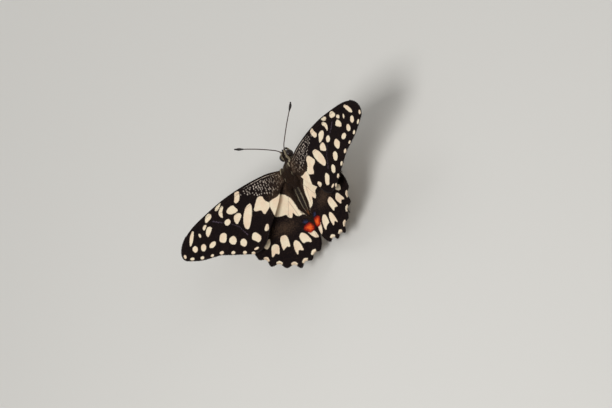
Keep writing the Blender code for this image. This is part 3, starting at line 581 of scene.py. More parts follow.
def make_wing(name, wing, arch, net, triangles, veins, rim, side, numbers, finish):
    """One closed wing. numbers holds a pair for each attribute: its upper and its lower face."""
    out, back = net.T
    vein = np.full(len(net), 9.0)
    for line in veins:
        vein = np.minimum(vein, distance_to_line(net, line))
    edge = distance_to_line(net, np.vstack([rim, rim[:1]]))
    root = root_share(out)
    ridge = VEIN_HEIGHT * np.clip(1.0 - vein / VEIN_HALF_WIDTH, 0.0, 1.0) * np.clip(edge / 1.5, 0.2, 1.0)
    half = (MEMBRANE + (ROOT_THICKNESS - MEMBRANE) * root) / 2 * np.clip(0.45 + edge / 1.2, 0.45, 1.0)
    sag = PLEAT * np.clip(vein / 1.6, 0.0, 1.0) ** 2 * (1.0 - root)
    level = arch(out, back) - sag
    upper = sheet_to_world(wing, side, out, back, level + half + ridge)
    lower = sheet_to_world(wing, side, out, back, level - half - ridge)
    both = {key: np.concatenate(pair) for key, pair in numbers.items()}
    both["vein"] = np.concatenate([vein, vein])
    both["edge"] = np.concatenate([edge, edge])
    both["upper"] = np.concatenate([np.ones(len(net)), np.zeros(len(net))])
    faces = shell_faces(triangles, len(net), side)
    piece = make_mesh(name, np.vstack([upper, lower]), faces, finish, both)
    add_uv(piece, "Sheet", np.vstack([net, net]) * MM * 10)
    add_uv(piece, "OFBake", bake_map(net, faces, len(triangles)))
    return piece


print("wing maker ready")

# %% [markdown]
# ## Shader helpers
#
# A material is a small graph. These helpers place a node, wire it and return its output, so that
# a recipe reads from top to bottom. The two groups are shared by every scaly surface: one gives
# the fine grain of overlapping scales, the other turns a depth into a mask with a dusty edge.

# %% Shader helpers and groups


class Recipe:
    """A material, group or geometry tree that is being written, one node at a time."""

    def __init__(self, tree):
        self.tree = tree

    def node(self, kind, **settings):
        item = self.tree.nodes.new(kind)
        for key, value in settings.items():
            setattr(item, key, value)
        return item

    def feed(self, socket, value):
        if isinstance(value, bpy.types.NodeSocket):
            self.tree.links.new(value, socket)
        else:
            socket.default_value = value

    def fed(self, kind, values, **settings):
        """Places a node, feeds the inputs that values names or numbers, and returns its outputs."""
        item = self.node(kind, **settings)
        for key, value in values.items():
            self.feed(item.inputs[key], value)
        return item.outputs

    def attribute(self, name):
        return self.node("ShaderNodeAttribute", attribute_name=name).outputs["Fac"]

    def math(self, way, a, b=0.0, clamp=False):
        item = self.node("ShaderNodeMath", operation=way, use_clamp=clamp)
        self.feed(item.inputs[0], a)
        self.feed(item.inputs[1], b)
        return item.outputs[0]

    def ramp(self, value, low, high, first=0.0, last=1.0):
        item = self.node("ShaderNodeMapRange", interpolation_type="SMOOTHSTEP")
        for socket, number in zip(item.inputs[:5], (value, low, high, first, last)):
            self.feed(socket, number)
        return item.outputs[0]

    def blend(self, share, a, b):
        item = self.node("ShaderNodeMix", data_type="RGBA")
        self.feed(item.inputs[0], share)
        self.feed(item.inputs[6], a if isinstance(a, bpy.types.NodeSocket) else (*a, 1.0))
        self.feed(item.inputs[7], b if isinstance(b, bpy.types.NodeSocket) else (*b, 1.0))
        return item.outputs[2]

    def noise(self, place, scale, detail=2.0, rough=0.5):
        return self.fed("ShaderNodeTexNoise", {"Vector": place, "Scale": scale, "Detail": detail,
                                               "Roughness": rough})["Fac"]

    def group(self, shared, **values):
        item = self.node("ShaderNodeGroup", node_tree=shared)
        for key, value in values.items():
            self.feed(item.inputs[key.replace("_", " ")], value)
        return item.outputs


print("recipe writer ready")

# %% [markdown]
# ### Shared groups and new materials
#
# Scales overlap like tiles, so a stretched cell pattern gives each of them a tone and a height.
# A mark ends between two scales and never through one, which is why the edge group adds the
# tone of the scale to the depth before it cuts.

# %% Shared groups


def new_group(name, takes, gives):
    """A shader group with named inputs, given with their defaults, and named outputs."""
    tree = bpy.data.node_groups.new(name, "ShaderNodeTree")
    for label, kind, default in takes:
        socket = tree.interface.new_socket(label, in_out="INPUT", socket_type=kind)
        if default is not None:
            socket.default_value = default
    for label in gives:
        tree.interface.new_socket(label, in_out="OUTPUT", socket_type="NodeSocketFloat")
    start, end = tree.nodes.new("NodeGroupInput"), tree.nodes.new("NodeGroupOutput")
    return tree, Recipe(tree), start.outputs, end.inputs


def scale_grain():
    """Fine overlapping scales: a tone for each scale and the height of its edge."""
    tree, recipe, takes, gives = new_group(
        "scale grain",
        [("Place", "NodeSocketVector", None), ("Density", "NodeSocketFloat", 800.0)],
        ["Tone", "Height"])
    long = recipe.fed("ShaderNodeVectorMath", {0: takes["Place"], 1: (0.62, 1.0, 1.0)},
                      operation="MULTIPLY")[0]
    cells = recipe.fed("ShaderNodeTexVoronoi", {"Vector": long, "Scale": takes["Density"]})
    tone = recipe.fed("ShaderNodeSeparateColor", {0: cells["Color"]})[0]
    recipe.feed(gives["Tone"], tone)
    recipe.feed(gives["Height"], cells["Distance"])
    return tree


def dusty_edge():
    """Turns a depth in millimetres into a mask whose edge breaks up scale by scale."""
    tree, recipe, takes, gives = new_group(
        "dusty edge",
        [("Depth", "NodeSocketFloat", 0.0), ("Tone", "NodeSocketFloat", 0.5),
         ("Dust", "NodeSocketFloat", 0.2), ("Softness", "NodeSocketFloat", 0.08)],
        ["Mask"])
    shake = recipe.math("MULTIPLY", recipe.math("SUBTRACT", takes["Tone"], 0.5), takes["Dust"])
    moved = recipe.math("ADD", takes["Depth"], shake)
    scaled = recipe.math("DIVIDE", moved, takes["Softness"])
    recipe.feed(gives["Mask"], recipe.ramp(scaled, -1.0, 1.0))
    return tree


SCALE_GRAIN, DUSTY_EDGE = scale_grain(), dusty_edge()


def new_finish(name, roughness, **constants):
    """A Principled material whose plain numbers are set on the shader itself."""
    finish = bpy.data.materials.new(name)
    finish.use_nodes = True
    shader = finish.node_tree.nodes["Principled BSDF"]
    shader.inputs["Roughness"].default_value = roughness
    for key, value in constants.items():
        shader.inputs[key.replace("_", " ")].default_value = value
    return finish, Recipe(finish.node_tree), shader


def add_bump(recipe, shader, height, strength, distance):
    """Turns a height into a bump of the shader's normal. distance is in metres."""
    bump = recipe.fed("ShaderNodeBump", {"Strength": strength, "Distance": distance, "Height": height})
    recipe.feed(shader.inputs["Normal"], bump[0])


print("shared groups:", SCALE_GRAIN.name, "and", DUSTY_EDGE.name)

# %% [markdown]
# ## The wing's finish
#
# A butterfly's colour is a mosaic of tiny scales, so every mark has an edge that is jagged at the
# size of a scale, and the black is never flat: brown scales are strewn through it, the veins are
# a shade lighter, and long hairs and pale dust lie near the root. The scales scatter the
# light, so the surface is matt and velvety. A broken lilac line across the forewing is a painted
# highlight: the glint of light on a fold of the wing, painted into the colour.

# %% Wing finishes
BLACK, BROWN, HAIR = (0.0036, 0.0020, 0.0028), (0.016, 0.0085, 0.0070), (0.066, 0.040, 0.025)
CREAM, PEACH, BEIGE = (0.88, 0.76, 0.56), (0.84, 0.62, 0.44), (0.33, 0.26, 0.185)
DASH, BEIGE_BROWN = (0.62, 0.53, 0.45), (0.27, 0.19, 0.115)
RED, ORANGE, RUST = (0.30, 0.012, 0.006), (0.80, 0.11, 0.018), (0.42, 0.15, 0.04)
# LILAC is the colour of a painted highlight, the glint of light on a fold of the forewing.
LILAC = (0.090, 0.066, 0.090)
BLUE, PALE_BLUE = (0.030, 0.042, 0.10), (0.20, 0.28, 0.42)


def wing_finish(name, hair_share):
    """The scales of a wing. hair_share is how far the brown hair colour covers the black."""
    finish, recipe, shader = new_finish(name, 0.65, Specular_IOR_Level=0.05)
    place = recipe.node("ShaderNodeUVMap", uv_map="Sheet").outputs[0]
    scales = recipe.group(SCALE_GRAIN, Place=place, Density=850.0)
    tone = scales["Tone"]
    patchy = recipe.noise(place, 28.0, 3.0)
    upper = recipe.attribute("upper")

    def strewn(name, much):
        """A stored number, shaken from scale to scale."""
        return recipe.math("ADD", recipe.attribute(name), recipe.math(
            "MULTIPLY", recipe.math("SUBTRACT", tone, 0.5), much))

    def mark(name, dust, softness):
        """One inside a stored mark and zero outside it."""
        return recipe.group(DUSTY_EDGE, Depth=recipe.attribute(name), Tone=tone, Dust=dust,
                            Softness=softness)["Mask"]

    ground = recipe.blend(recipe.math("MULTIPLY", tone, patchy), BLACK, BROWN)
    ground = recipe.blend(recipe.math("MULTIPLY", recipe.math("SUBTRACT", 1.0, upper), 0.35), ground,
                          BROWN)
    vein = recipe.ramp(recipe.attribute("vein"), 0.02, 0.15, 1.0, 0.0)
    ground = recipe.blend(recipe.math("MULTIPLY", vein, 0.35), ground, BROWN)
    # Painted highlight: a broken lilac glint along a fold of the forewing, laid into the colour.
    glint = recipe.ramp(recipe.math("MULTIPLY", recipe.attribute("glint"), recipe.math(
        "ADD", tone, patchy)), 0.80, 1.30)
    ground = recipe.blend(glint, ground, LILAC)
    dust = recipe.ramp(strewn("dust", 0.9), 0.2, 0.9, 0.0, hair_share)
    ground = recipe.blend(dust, ground, HAIR)
    ground = recipe.blend(recipe.math("MULTIPLY", mark("dots", 0.22, 0.10), 0.9), ground,
                          recipe.blend(dust, DASH, BEIGE_BROWN))
    pale = recipe.blend(recipe.ramp(patchy, 0.35, 0.7, 0.0, 0.75), CREAM, PEACH)
    pale = recipe.blend(recipe.math("MULTIPLY", vein, 0.45), pale, HAIR)
    fine = recipe.ramp(tone, 0.0, 1.0, 0.0, 0.16)
    pale = recipe.blend(fine, pale, BEIGE)
    colour = recipe.blend(mark("cream", 0.20, 0.09), ground, pale)
    hot = recipe.blend(recipe.ramp(strewn("warm", 0.7), 0.25, 1.25), RED, ORANGE)
    colour = recipe.blend(mark("warm", 0.45, 0.30), colour, recipe.blend(upper, RUST, hot))
    colour = recipe.blend(recipe.math("MULTIPLY", mark("blue", 0.9, 0.25), 0.7), colour,
                          recipe.blend(upper, PALE_BLUE, BLUE))
    recipe.feed(shader.inputs["Base Color"], colour)
    recipe.feed(shader.inputs["Roughness"], recipe.ramp(tone, 0.0, 1.0, 0.55, 0.75))
    add_bump(recipe, shader, scales["Height"], 0.25, 0.00003)
    return finish


FORE_FINISH = wing_finish("forewing scales", 0.75)
HIND_FINISH = wing_finish("hindwing scales", 0.85)
print("wing finishes ready")

# %% [markdown]
# ## The forewings
#
# Both sides share one net and one set of marks, mirrored across the body. The soft brown hair
# that grows over the root is written as a number that falls off with distance.

# %% Build the forewings
# GLINT_WIDTH and GLINT_LINE place a painted highlight, a glint of light along a fold of the forewing.
COSTAL_BORDER, GLINT_WIDTH = 0.5, 0.42
GLINT_LINE = [(31.4, 0.1), (29.5, 1.6), (27.6, 2.9), (25.0, 5.0), (23.0, 7.2), (21.9, 9.5), (21.0, 11.5)]
fore_net, fore_triangles, fore_lines = wing_net(FORE_RIM_LINE, FORE_VEINS)
out, back = fore_net.T
streaks = depth_in(fore_net, FORE_STREAKS)
costal_margin = distance_to_line(fore_net, curve_through(FORE_RIM[:9], 0.5)) - COSTAL_BORDER
fore_cream = np.minimum(depth_in(fore_net, FORE_SPOTS), costal_margin)
lower_cream = np.maximum(np.where(out > 9.0, fore_cream + 0.28, fore_cream + 0.1), streaks)
fade = np.exp(-np.maximum(out - 3.0, 0.0) / 3.2) + 0.55 * np.exp(
    -((out - 7.5) ** 2 + (back - 5.5) ** 2) / 12.0)
none = np.full(len(fore_net), -1.0)
glint = np.exp(-(distance_to_line(fore_net, curve_through(GLINT_LINE, 0.3)) / GLINT_WIDTH) ** 2)
fore_numbers = {
    "glint": (glint, none * 0),
    "cream": (fore_cream, lower_cream),
    "dots": (depth_in(fore_net, dash_rows()), none),
    "dust": (fade, 0.3 * np.clip((out - 30.0) / 14.0, 0.0, 1.0)),
    "warm": (none, depth_in(fore_net, [oval(41.5, 3.0, 2.6, 1.2, 45)]) - 0.5),
    "blue": (none, none),
}
for side, end in SIDES:
    wing = make_wing("forewing_scaled_" + end, FORE, fore_arch, fore_net, fore_triangles, fore_lines,
                     FORE_RIM_LINE, side, fore_numbers, FORE_FINISH)
    hand_over(wing, "forewing", "forewing_" + end)

# %% [markdown]
# ## The hindwings
#
# The hindwing adds a brown, hairy bloom in the middle of its black field, a red spot beside the
# tail end of the body, and dustings of blue.

# %% Build the hindwings
hind_net, hind_triangles, hind_lines = wing_net(HIND_RIM_LINE, HIND_VEINS)
out, back = hind_net.T
upper_cream = depth_in(hind_net, HIND_SPOTS)
bars = depth_in(hind_net, HIND_BARS)
lower_cream = np.minimum(np.maximum(depth_in(hind_net, HIND_CREAM),
                                    np.where(back > 15.5, upper_cream + 0.35, -1.0)), -bars)
bloom = 0.75 * np.exp(-((out - 9.5) / 5.0) ** 2 - ((back - 14.8 - 0.12 * (9.5 - out)) / 2.6) ** 2)
inner = distance_to_line(hind_net, curve_through(HIND_INNER, 0.5))
hairy = np.maximum(1.1 * np.exp(-inner / 1.3) * (back < 15.5), 1.2 * np.exp(-np.maximum(out - 2.5, 0) / 2.2)
                   * (back < 9.0))
none = np.full(len(hind_net), -1.0)
hind_numbers = {
    "glint": (none * 0, none * 0),
    "cream": (upper_cream, lower_cream),
    "dots": (none, none),
    "dust": (np.maximum(bloom, hairy), 0.4 * hairy),
    "warm": (depth_in(hind_net, RED_SPOT), depth_in(hind_net, RUST_SPOTS + RED_SPOT)),
    "blue": (depth_in(hind_net, BLUE_SPOTS), depth_in(hind_net, PALE_BLUES)),
}
for side, end in SIDES:
    wing = make_wing("hindwing_scaled_" + end, HIND, hind_arch, hind_net, hind_triangles, hind_lines,
                     HIND_RIM_LINE, side, hind_numbers, HIND_FINISH)
    hand_over(wing, "hindwing", "hindwing_" + end)

# %% [markdown]
# ## The skin of the body
#
# Head, thorax, abdomen and the two scaly palps under the face are one soft body, so they share one
# skin. It starts as a few overlapping closed forms. A voxel remesh fuses them as clay would, and a
# few rounds of smoothing take the steps out. The skin stays a little inside the solids, which
# leaves room for the coat.

# %% Skin forms
HEAD = [(-9.75, 0.55, -1.40, -2.60), (-9.2, 1.05, -0.70, -3.35), (-8.2, 1.22, -0.35, -3.60),
        (-7.2, 1.15, -0.60, -3.45), (-6.5, 1.05, -0.90, -3.20)]
THORAX = [(-6.6, 1.00, -1.00, -3.20), (-5.9, 1.40, -0.65, -3.40), (-4.6, 2.30, 0.28, -3.85),
          (-2.6, 2.85, 1.18, -4.52), (-0.4, 2.95, 1.48, -4.72), (1.6, 2.65, 1.12, -4.62),
          (3.2, 2.08, 0.25, -4.25), (4.4, 1.70, -0.45, -3.95)]
ABDOMEN = [(3.9, 1.45, -0.55, -3.85), (6.0, 1.82, -0.82, -4.58), (8.5, 1.93, -1.10, -4.88),
           (11.0, 1.74, -1.45, -4.78), (13.2, 1.26, -1.93, -4.40), (14.6, 0.68, -2.46, -3.88),
           (15.05, 0.30, -2.85, -3.45)]
ABDOMEN_RINGS = 8
PALP_LINE = [(0.80, -8.9, -2.95), (0.84, -9.9, -3.15), (0.84, -10.40, -3.05), (0.80, -10.72, -2.55),
             (0.68, -10.72, -1.85)]


def grid_faces(rings, sides):
    """Triangles over a closed tube of rings, with both ends closed by fans."""
    k = np.arange(sides)
    nxt = (k + 1) % sides
    faces = []
    for ring in range(rings - 1):
        low, high = ring * sides, (ring + 1) * sides
        faces += [np.stack([low + k, low + nxt, high + nxt], 1), np.stack([low + k, high + nxt, high + k], 1)]
    start, end = rings * sides, rings * sides + 1
    last = (rings - 1) * sides
    faces += [np.stack([np.full(sides, start), nxt, k], 1),
              np.stack([np.full(sides, end), last + k, last + nxt], 1)]
    return np.vstack(faces)


def sweep(path, radii, sides, floor=None, squash=1.0):
    """A round tube along a path, as points and triangles. squash flattens it across."""
    path, radii = np.asarray(path, float), np.broadcast_to(np.asarray(radii, float), (len(path),))
    run = np.gradient(path, axis=0)
    run /= np.linalg.norm(run, axis=1)[:, None]
    side = np.cross(run[0], (0.0, 0.0, 1.0) if abs(run[0][2]) < 0.9 else (1.0, 0.0, 0.0))
    points = []
    angle = 2 * pi * np.arange(sides) / sides
    for centre, tangent, radius in zip(path, run, radii):
        side = side - tangent * (side @ tangent)
        side /= np.linalg.norm(side)
        up = np.cross(tangent, side)
        points.append(centre + radius * (np.cos(angle)[:, None] * side * squash
                                         + np.sin(angle)[:, None] * up))
    points = np.vstack(points + [path[:1], path[-1:]])
    if floor is not None:
        points[:, 2] = np.maximum(points[:, 2], floor)
    return points, grid_faces(len(path), sides)


def loft(stations, rings, sides, power, swell=None):
    """A closed body through stations of (y, half width, top, base). power squares its section."""
    rows = curve_through(stations, 0.3)
    rows = rows[np.argsort(rows[:, 0])]
    angle = 2 * pi * (np.arange(sides) + 0.5) / sides
    c, s = np.cos(angle), np.sin(angle)
    points, ends = [], []
    for index, y in enumerate(np.linspace(stations[0][0], stations[-1][0], rings)):
        width, top, base = (np.interp(y, rows[:, 0], rows[:, k]) for k in (1, 2, 3))
        grow = swell(index / (rings - 1)) if swell else 1.0
        x = np.sign(c) * np.abs(c) ** (2 / power) * width * grow
        z = (top + base) / 2 + np.sign(s) * np.abs(s) ** (2 / power) * (top - base) / 2 * grow
        points.append(np.stack([x, np.full(sides, y), z], 1))
        ends.append((0.0, y, (top + base) / 2))
    return np.vstack(points + [ends[:1], ends[-1:]]), grid_faces(rings, sides)


def ball(centre, size, sides=16):
    """A stretched ball, as points and triangles."""
    lift = np.linspace(-pi / 2, pi / 2, sides // 2 + 1)[1:-1]
    angle = 2 * pi * np.arange(sides) / sides
    rings = [np.stack([np.cos(t) * np.cos(angle), np.full(sides, sin(t)), np.cos(t) * np.sin(angle)], 1)
             for t in lift]
    points = np.vstack(rings + [[(0, -1, 0)], [(0, 1, 0)]])
    return points * np.array(size) + np.array(centre), grid_faces(len(lift), sides)


def swell_abdomen(t):
    """Each ring of the abdomen bulges a little and tucks under the next."""
    place = (t * ABDOMEN_RINGS) % 1.0
    return 1.0 - 0.055 * (1.0 - place) ** 3 * min(1.0, 6 * t)


LEG_ROOTS = {"front": (1.05, -4.0, -3.6), "middle": (1.25, -1.0, -4.2), "hind": (1.15, 2.1, -4.0)}
forms = [loft(HEAD, 24, 28, 2.6), loft(THORAX, 40, 36, 2.1),
         loft(ABDOMEN, 161, 36, 2.0, swell_abdomen), ball((0, -9.0, -1.5), (0.95, 0.85, 0.9))]
for side in (1, -1):
    forms.append(ball((side * 1.9, -2.2, 0.92), (1.15, 1.65, 0.50)))
    forms.append(ball((side * 2.0, -1.2, 0.25), (1.35, 2.3, 0.55)))
    forms.append(ball((side * 1.8, 2.6, 0.05), (1.10, 1.9, 0.50)))
    forms.append(ball((side * 2.35, -1.0, -0.05), (1.10, 2.4, 0.60)))
    forms.append(ball((side * 2.10, 2.6, -0.85), (1.15, 2.3, 0.60)))
    forms.append(ball((side * 0.66, -9.45, -1.0), (0.42, 0.42, 0.42)))
    forms.append(sweep([(side * x, y, z) for x, y, z in curve_through(PALP_LINE, 0.15)],
                       np.linspace(0.38, 0.24, len(curve_through(PALP_LINE, 0.15))), 12))
    for x, y, z in LEG_ROOTS.values():
        forms.append(ball((side * x, y, z), (0.72, 0.80, 1.15)))
print("skin forms:", len(forms))

# %% [markdown]
# ### One skin from many forms
#
# The remesh gives even squares, about a tenth of a millimetre wide. The coat needs that too,
# because its roots are shared out square by square.

# %% Fuse and smooth the skin
VOXEL = 0.09


def join_forms(forms):
    """Puts several sets of points and triangles into one."""
    points, faces, count = [], [], 0
    for its_points, its_faces in forms:
        points.append(its_points)
        faces.append(its_faces + count)
        count += len(its_points)
    return np.vstack(points), np.vstack(faces)


def fuse_forms(forms, voxel):
    """Voxel remesh at 1 unit to the millimetre, which keeps the voxels well above their least size."""
    points, faces = join_forms(forms)
    lump = make_mesh("lump", points / MM, faces)
    remesh = lump.modifiers.new("fuse", "REMESH")
    remesh.mode, remesh.voxel_size = "VOXEL", voxel
    bpy.context.view_layer.update()
    mesh = bpy.data.meshes.new_from_object(lump.evaluated_get(bpy.context.evaluated_depsgraph_get()))
    bpy.data.objects.remove(lump)
    points = np.empty(len(mesh.vertices) * 3, np.float32)
    mesh.vertices.foreach_get("co", points)
    quads = np.empty(len(mesh.polygons) * 4, np.int32)
    mesh.polygons.foreach_get("vertices", quads)
    bpy.data.meshes.remove(mesh)
    return points.reshape(-1, 3).astype(float), quads.reshape(-1, 4)


def smooth_points(points, quads, rounds):
    """Moves each point halfway to the mean of its neighbours, round by round."""
    ways = np.vstack([quads[:, [0, 1]], quads[:, [1, 2]], quads[:, [2, 3]], quads[:, [3, 0]]])
    for _ in range(rounds):
        total = np.zeros_like(points)
        times = np.zeros(len(points))
        for a, b in ((0, 1), (1, 0)):
            np.add.at(total, ways[:, a], points[ways[:, b]])
            np.add.at(times, ways[:, a], 1.0)
        points = points * 0.5 + total / times[:, None] * 0.5
    return points


skin_points, skin_quads = fuse_forms(forms, VOXEL)
skin_points = smooth_points(skin_points, skin_quads, 4)
print("skin:", len(skin_points), "points")


def normals_of(points, quads):
    """The outward direction at each point of the skin."""
    a, b, c, d = (points[quads[:, k]] for k in range(4))
    face = np.cross(c - a, d - b)
    total = np.zeros_like(points)
    for k in range(4):
        np.add.at(total, quads[:, k], face)
    return total / np.maximum(np.linalg.norm(total, axis=1), 1e-12)[:, None]


skin_normals = normals_of(skin_points, skin_quads)
if (skin_normals[:, 2] * (skin_points[:, 2] + 2.0)).mean() < 0:
    skin_normals, skin_quads = -skin_normals, skin_quads[:, ::-1]

# %% [markdown]
# ## Markings of the body
#
# The body is dark above. A cream stripe runs back from each side of the head over the shoulder, a
# narrow pale line lies along each side of the abdomen, and the underside is cream with thin black
# lines. Skin and coat ask the same functions, so they always agree.

# %% Body markings


def band(value, middle, half, soft=0.12):
    """One inside a band and zero outside it, with soft edges."""
    return np.clip((half - np.abs(value - middle)) / soft + 0.5, 0.0, 1.0)


def body_pale(p):
    """How cream the body is at body-frame points, from 0 to 1."""
    x, y, z = np.abs(p[:, 0]), p[:, 1], p[:, 2]
    stripe_x = np.interp(y, [-10.0, -8.6, -7.2, -5.5, -3.8, -2.4], [0.75, 0.80, 0.85, 1.25, 1.80, 2.15])
    pale = band(x, stripe_x, 0.20, 0.15) * (y > -9.6) * (y < -2.3) * (z > -1.9)
    pale = np.maximum(pale, 0.8 * band(y, -0.2, 0.5) * band(x, 1.9, 0.28) * (z > 0))
    pale = np.maximum(pale, 0.22 * np.exp(-(x - 1.0) ** 2 / 0.35 - (y + 3.4) ** 2 / 0.8) * (z > 0))
    middle = np.interp(y, [4.5, 8.5, 13.2, 15.1], [-2.2, -3.0, -3.2, -3.2])
    across = np.interp(y, [4.5, 8.5, 13.2, 15.1], [1.6, 1.93, 1.26, 0.3])
    tall = np.interp(y, [4.5, 8.5, 13.2, 15.1], [1.7, 1.9, 1.25, 0.3])
    angle = np.degrees(np.arctan2((z - middle) / tall, x / across))
    belly = np.clip((12.0 - angle) / 8.0, 0.0, 1.0) * (1.0 - 0.9 * band(angle, -22.0, 5.0, 4.0))
    line = band(angle, 60.0, 9.0, 4.5) * np.clip((y - 3.0) / 1.0, 0.0, 1.0) * np.clip((14.3 - y), 0.0, 1.0)
    rear = np.maximum(belly, 0.75 * line) * np.clip((y - 4.2) / 0.6, 0.0, 1.0)
    chest = 0.75 * np.clip((-2.6 - z) / 0.8, 0.0, 1.0) * (y <= 4.6) * (y > -6.5)
    face = np.clip((-2.3 - z) / 0.4, 0.0, 1.0) * (y <= -6.5)
    return np.clip(np.maximum.reduce([pale, rear, chest, face]), 0.0, 1.0)


def body_rust(p):
    """The rusty tip of the abdomen."""
    return 0.7 * np.exp(-((p[:, 1] - 14.4) / 1.1) ** 2) * (p[:, 2] > -3.4)


print("share of the skin that is cream:", body_pale(skin_points).mean().round(2))


# %% [markdown]
# ## Finishes of skin and coat
#
# Hair is painted darker at its root, as painted shade deep in the coat, so that it seems to catch
# the light at its tip, and no two tufts are quite alike. Each tuft carries its own random tone, its
# place along its own length and its share of cream.

# %% Body finishes
FUR_DARK, FUR_BROWN = (0.010, 0.007, 0.006), (0.054, 0.034, 0.022)
FUR_CREAM, FUR_RUST = (0.62, 0.53, 0.36), (0.30, 0.11, 0.03)


def fur_finish(name, roughness):
    """Hair or loose scales, each tuft painted dark at its root as painted shade in the coat."""
    finish, recipe, shader = new_finish(name, roughness, Specular_IOR_Level=0.16)
    tone, along = recipe.attribute("tone"), recipe.attribute("along")
    dark = recipe.blend(recipe.math("MULTIPLY", tone, 0.75), FUR_DARK, FUR_BROWN)
    dark = recipe.blend(recipe.attribute("rust"), dark, FUR_RUST)
    pale = recipe.blend(recipe.math("MULTIPLY", tone, 0.35), FUR_CREAM, FUR_BROWN)
    colour = recipe.blend(recipe.attribute("pale"), dark, pale)
    # Painted shade: each tuft is darkened towards its root, where the rest of the coat shades it.
    colour = recipe.blend(recipe.ramp(along, 0.0, 0.8, 0.45, 0.0), colour, FUR_DARK)
    recipe.feed(shader.inputs["Base Color"], colour)
    recipe.feed(shader.inputs["Roughness"], recipe.ramp(tone, 0.0, 1.0, roughness - 0.1, roughness))
    return finish


def skin_finish():
    finish, recipe, shader = new_finish("body skin", 0.8, Specular_IOR_Level=0.16)
    place = recipe.node("ShaderNodeTexCoord").outputs["Object"]
    scales = recipe.group(SCALE_GRAIN, Place=place, Density=6500.0)
    dark = recipe.blend(recipe.math("MULTIPLY", scales["Tone"], 0.6), FUR_DARK, FUR_BROWN)
    dark = recipe.blend(recipe.attribute("rust"), dark, FUR_RUST)
    pale = recipe.blend(recipe.math("MULTIPLY", scales["Tone"], 0.5), FUR_CREAM, FUR_BROWN)
    recipe.feed(shader.inputs["Base Color"], recipe.blend(recipe.attribute("pale"), dark, pale))
    add_bump(recipe, shader, scales["Height"], 0.5, 0.00005)
    return finish


SKIN_FINISH = skin_finish()
FUR_FINISH, HAIR_FINISH = fur_finish("body fur", 0.75), fur_finish("short scales", 0.6)
print("body finishes ready")

# %% [markdown]
# The skin comes first and stands for the solids of the body. It has the colours of the coat, so
# that a gap between two tufts is never seen.

# %% Skin piece
skin = make_mesh("body_skin", body_to_world(skin_points), skin_quads, SKIN_FINISH,
                 {"pale": body_pale(skin_points), "rust": body_rust(skin_points)})
hand_over(skin, "body_fur", "head", "thorax", "abdomen", "palp_left", "palp_right")

# %% [markdown]
# ## The coat
#
# The thorax wears long soft hair that lies back towards the tail, the head a short bristly coat,
# and the abdomen flat scales like shingles. A tuft is a small closed blade with a sharp tip. All
# tufts of a coat are made at once as arrays: a root on the skin, a direction along the lie of the
# coat that lifts a little from the surface, a length, a width and a bend.

# %% Tuft maker


def scatter(points, quads, normals, count, weight):
    """Seeded random roots over a skin, more of them where weight is large."""
    a, b, c, d = (points[quads[:, k]] for k in range(4))
    middle = (a + b + c + d) / 4
    area = np.linalg.norm(np.cross(c - a, d - b), axis=1) / 2 * weight(middle)
    pick = rng.choice(len(quads), count, p=area / area.sum())
    u, v = rng.random((2, count, 1))
    roots = (a[pick] * (1 - u) + b[pick] * u) * (1 - v) + (d[pick] * (1 - u) + c[pick] * u) * v
    lie = normals[quads[pick]].mean(axis=1)
    return roots, lie / np.linalg.norm(lie, axis=1)[:, None]


def tufts(roots, normals, flow, length, width, lift, bend, rings=3, sink=0.06):
    """Closed tapered blades. flow is the lie of the coat, lift how far it rises from the skin.

    Returns points, triangles, each point's place along its blade and the blade it belongs to."""
    flow = flow - normals * np.sum(flow * normals, axis=1)[:, None]
    flow /= np.maximum(np.linalg.norm(flow, axis=1), 1e-9)[:, None]
    across = np.cross(normals, flow)
    length, width, lift, bend = (np.broadcast_to(value, (len(roots),))[:, None]
                                 for value in (length, width, lift, bend))
    rows, along = [], []
    for ring in range(rings):
        t = ring / rings
        centre = roots - normals * sink + length * (
            t * (flow * np.cos(lift) + normals * np.sin(lift)) - bend * t * t * normals)
        half = width * (1 - 0.75 * t ** 1.5) / 2
        rows += [centre - across * half, centre + across * half, centre + normals * half * 0.7]
        along += [t] * 3
    tip = roots - normals * sink + length * (flow * np.cos(lift) + normals * np.sin(lift) - bend * normals)
    rows.append(tip)
    along.append(1.0)
    size = 3 * rings + 1
    points = np.stack(rows, axis=1).reshape(-1, 3)
    faces = [(0, 2, 1)]
    for ring in range(rings - 1):
        low, high = 3 * ring, 3 * ring + 3
        for k, nxt in ((0, 1), (1, 2), (2, 0)):
            faces += [(low + k, low + nxt, high + nxt), (low + k, high + nxt, high + k)]
    last = 3 * (rings - 1)
    faces += [(last, last + 1, size - 1), (last + 1, last + 2, size - 1), (last + 2, last, size - 1)]
    faces = (np.array(faces)[None] + size * np.arange(len(roots))[:, None, None]).reshape(-1, 3)
    return points, faces, np.tile(along, len(roots)), np.repeat(np.arange(len(roots)), size)


BAKE_PATCH = 0.003


def bake_places(root_uv, along, owner, rings=3):
    """A tiny patch of the unwrap for each tuft, at its root's place."""
    size = 3 * rings + 1
    across = np.tile(np.tile([0.0, 1.0, 0.5], rings + 1)[:size], len(root_uv))
    return root_uv[owner] + BAKE_PATCH * np.stack([across - 0.5, along - 0.5], axis=1)


def body_unwrap(p):
    """Unrolls the body round its long axis."""
    angle = np.arctan2(p[:, 0], p[:, 2] + 2.2)
    return np.stack([0.5 + angle / (2 * pi) * 0.96, 0.02 + (p[:, 1] + 11.0) / 27.0 * 0.96], axis=1)


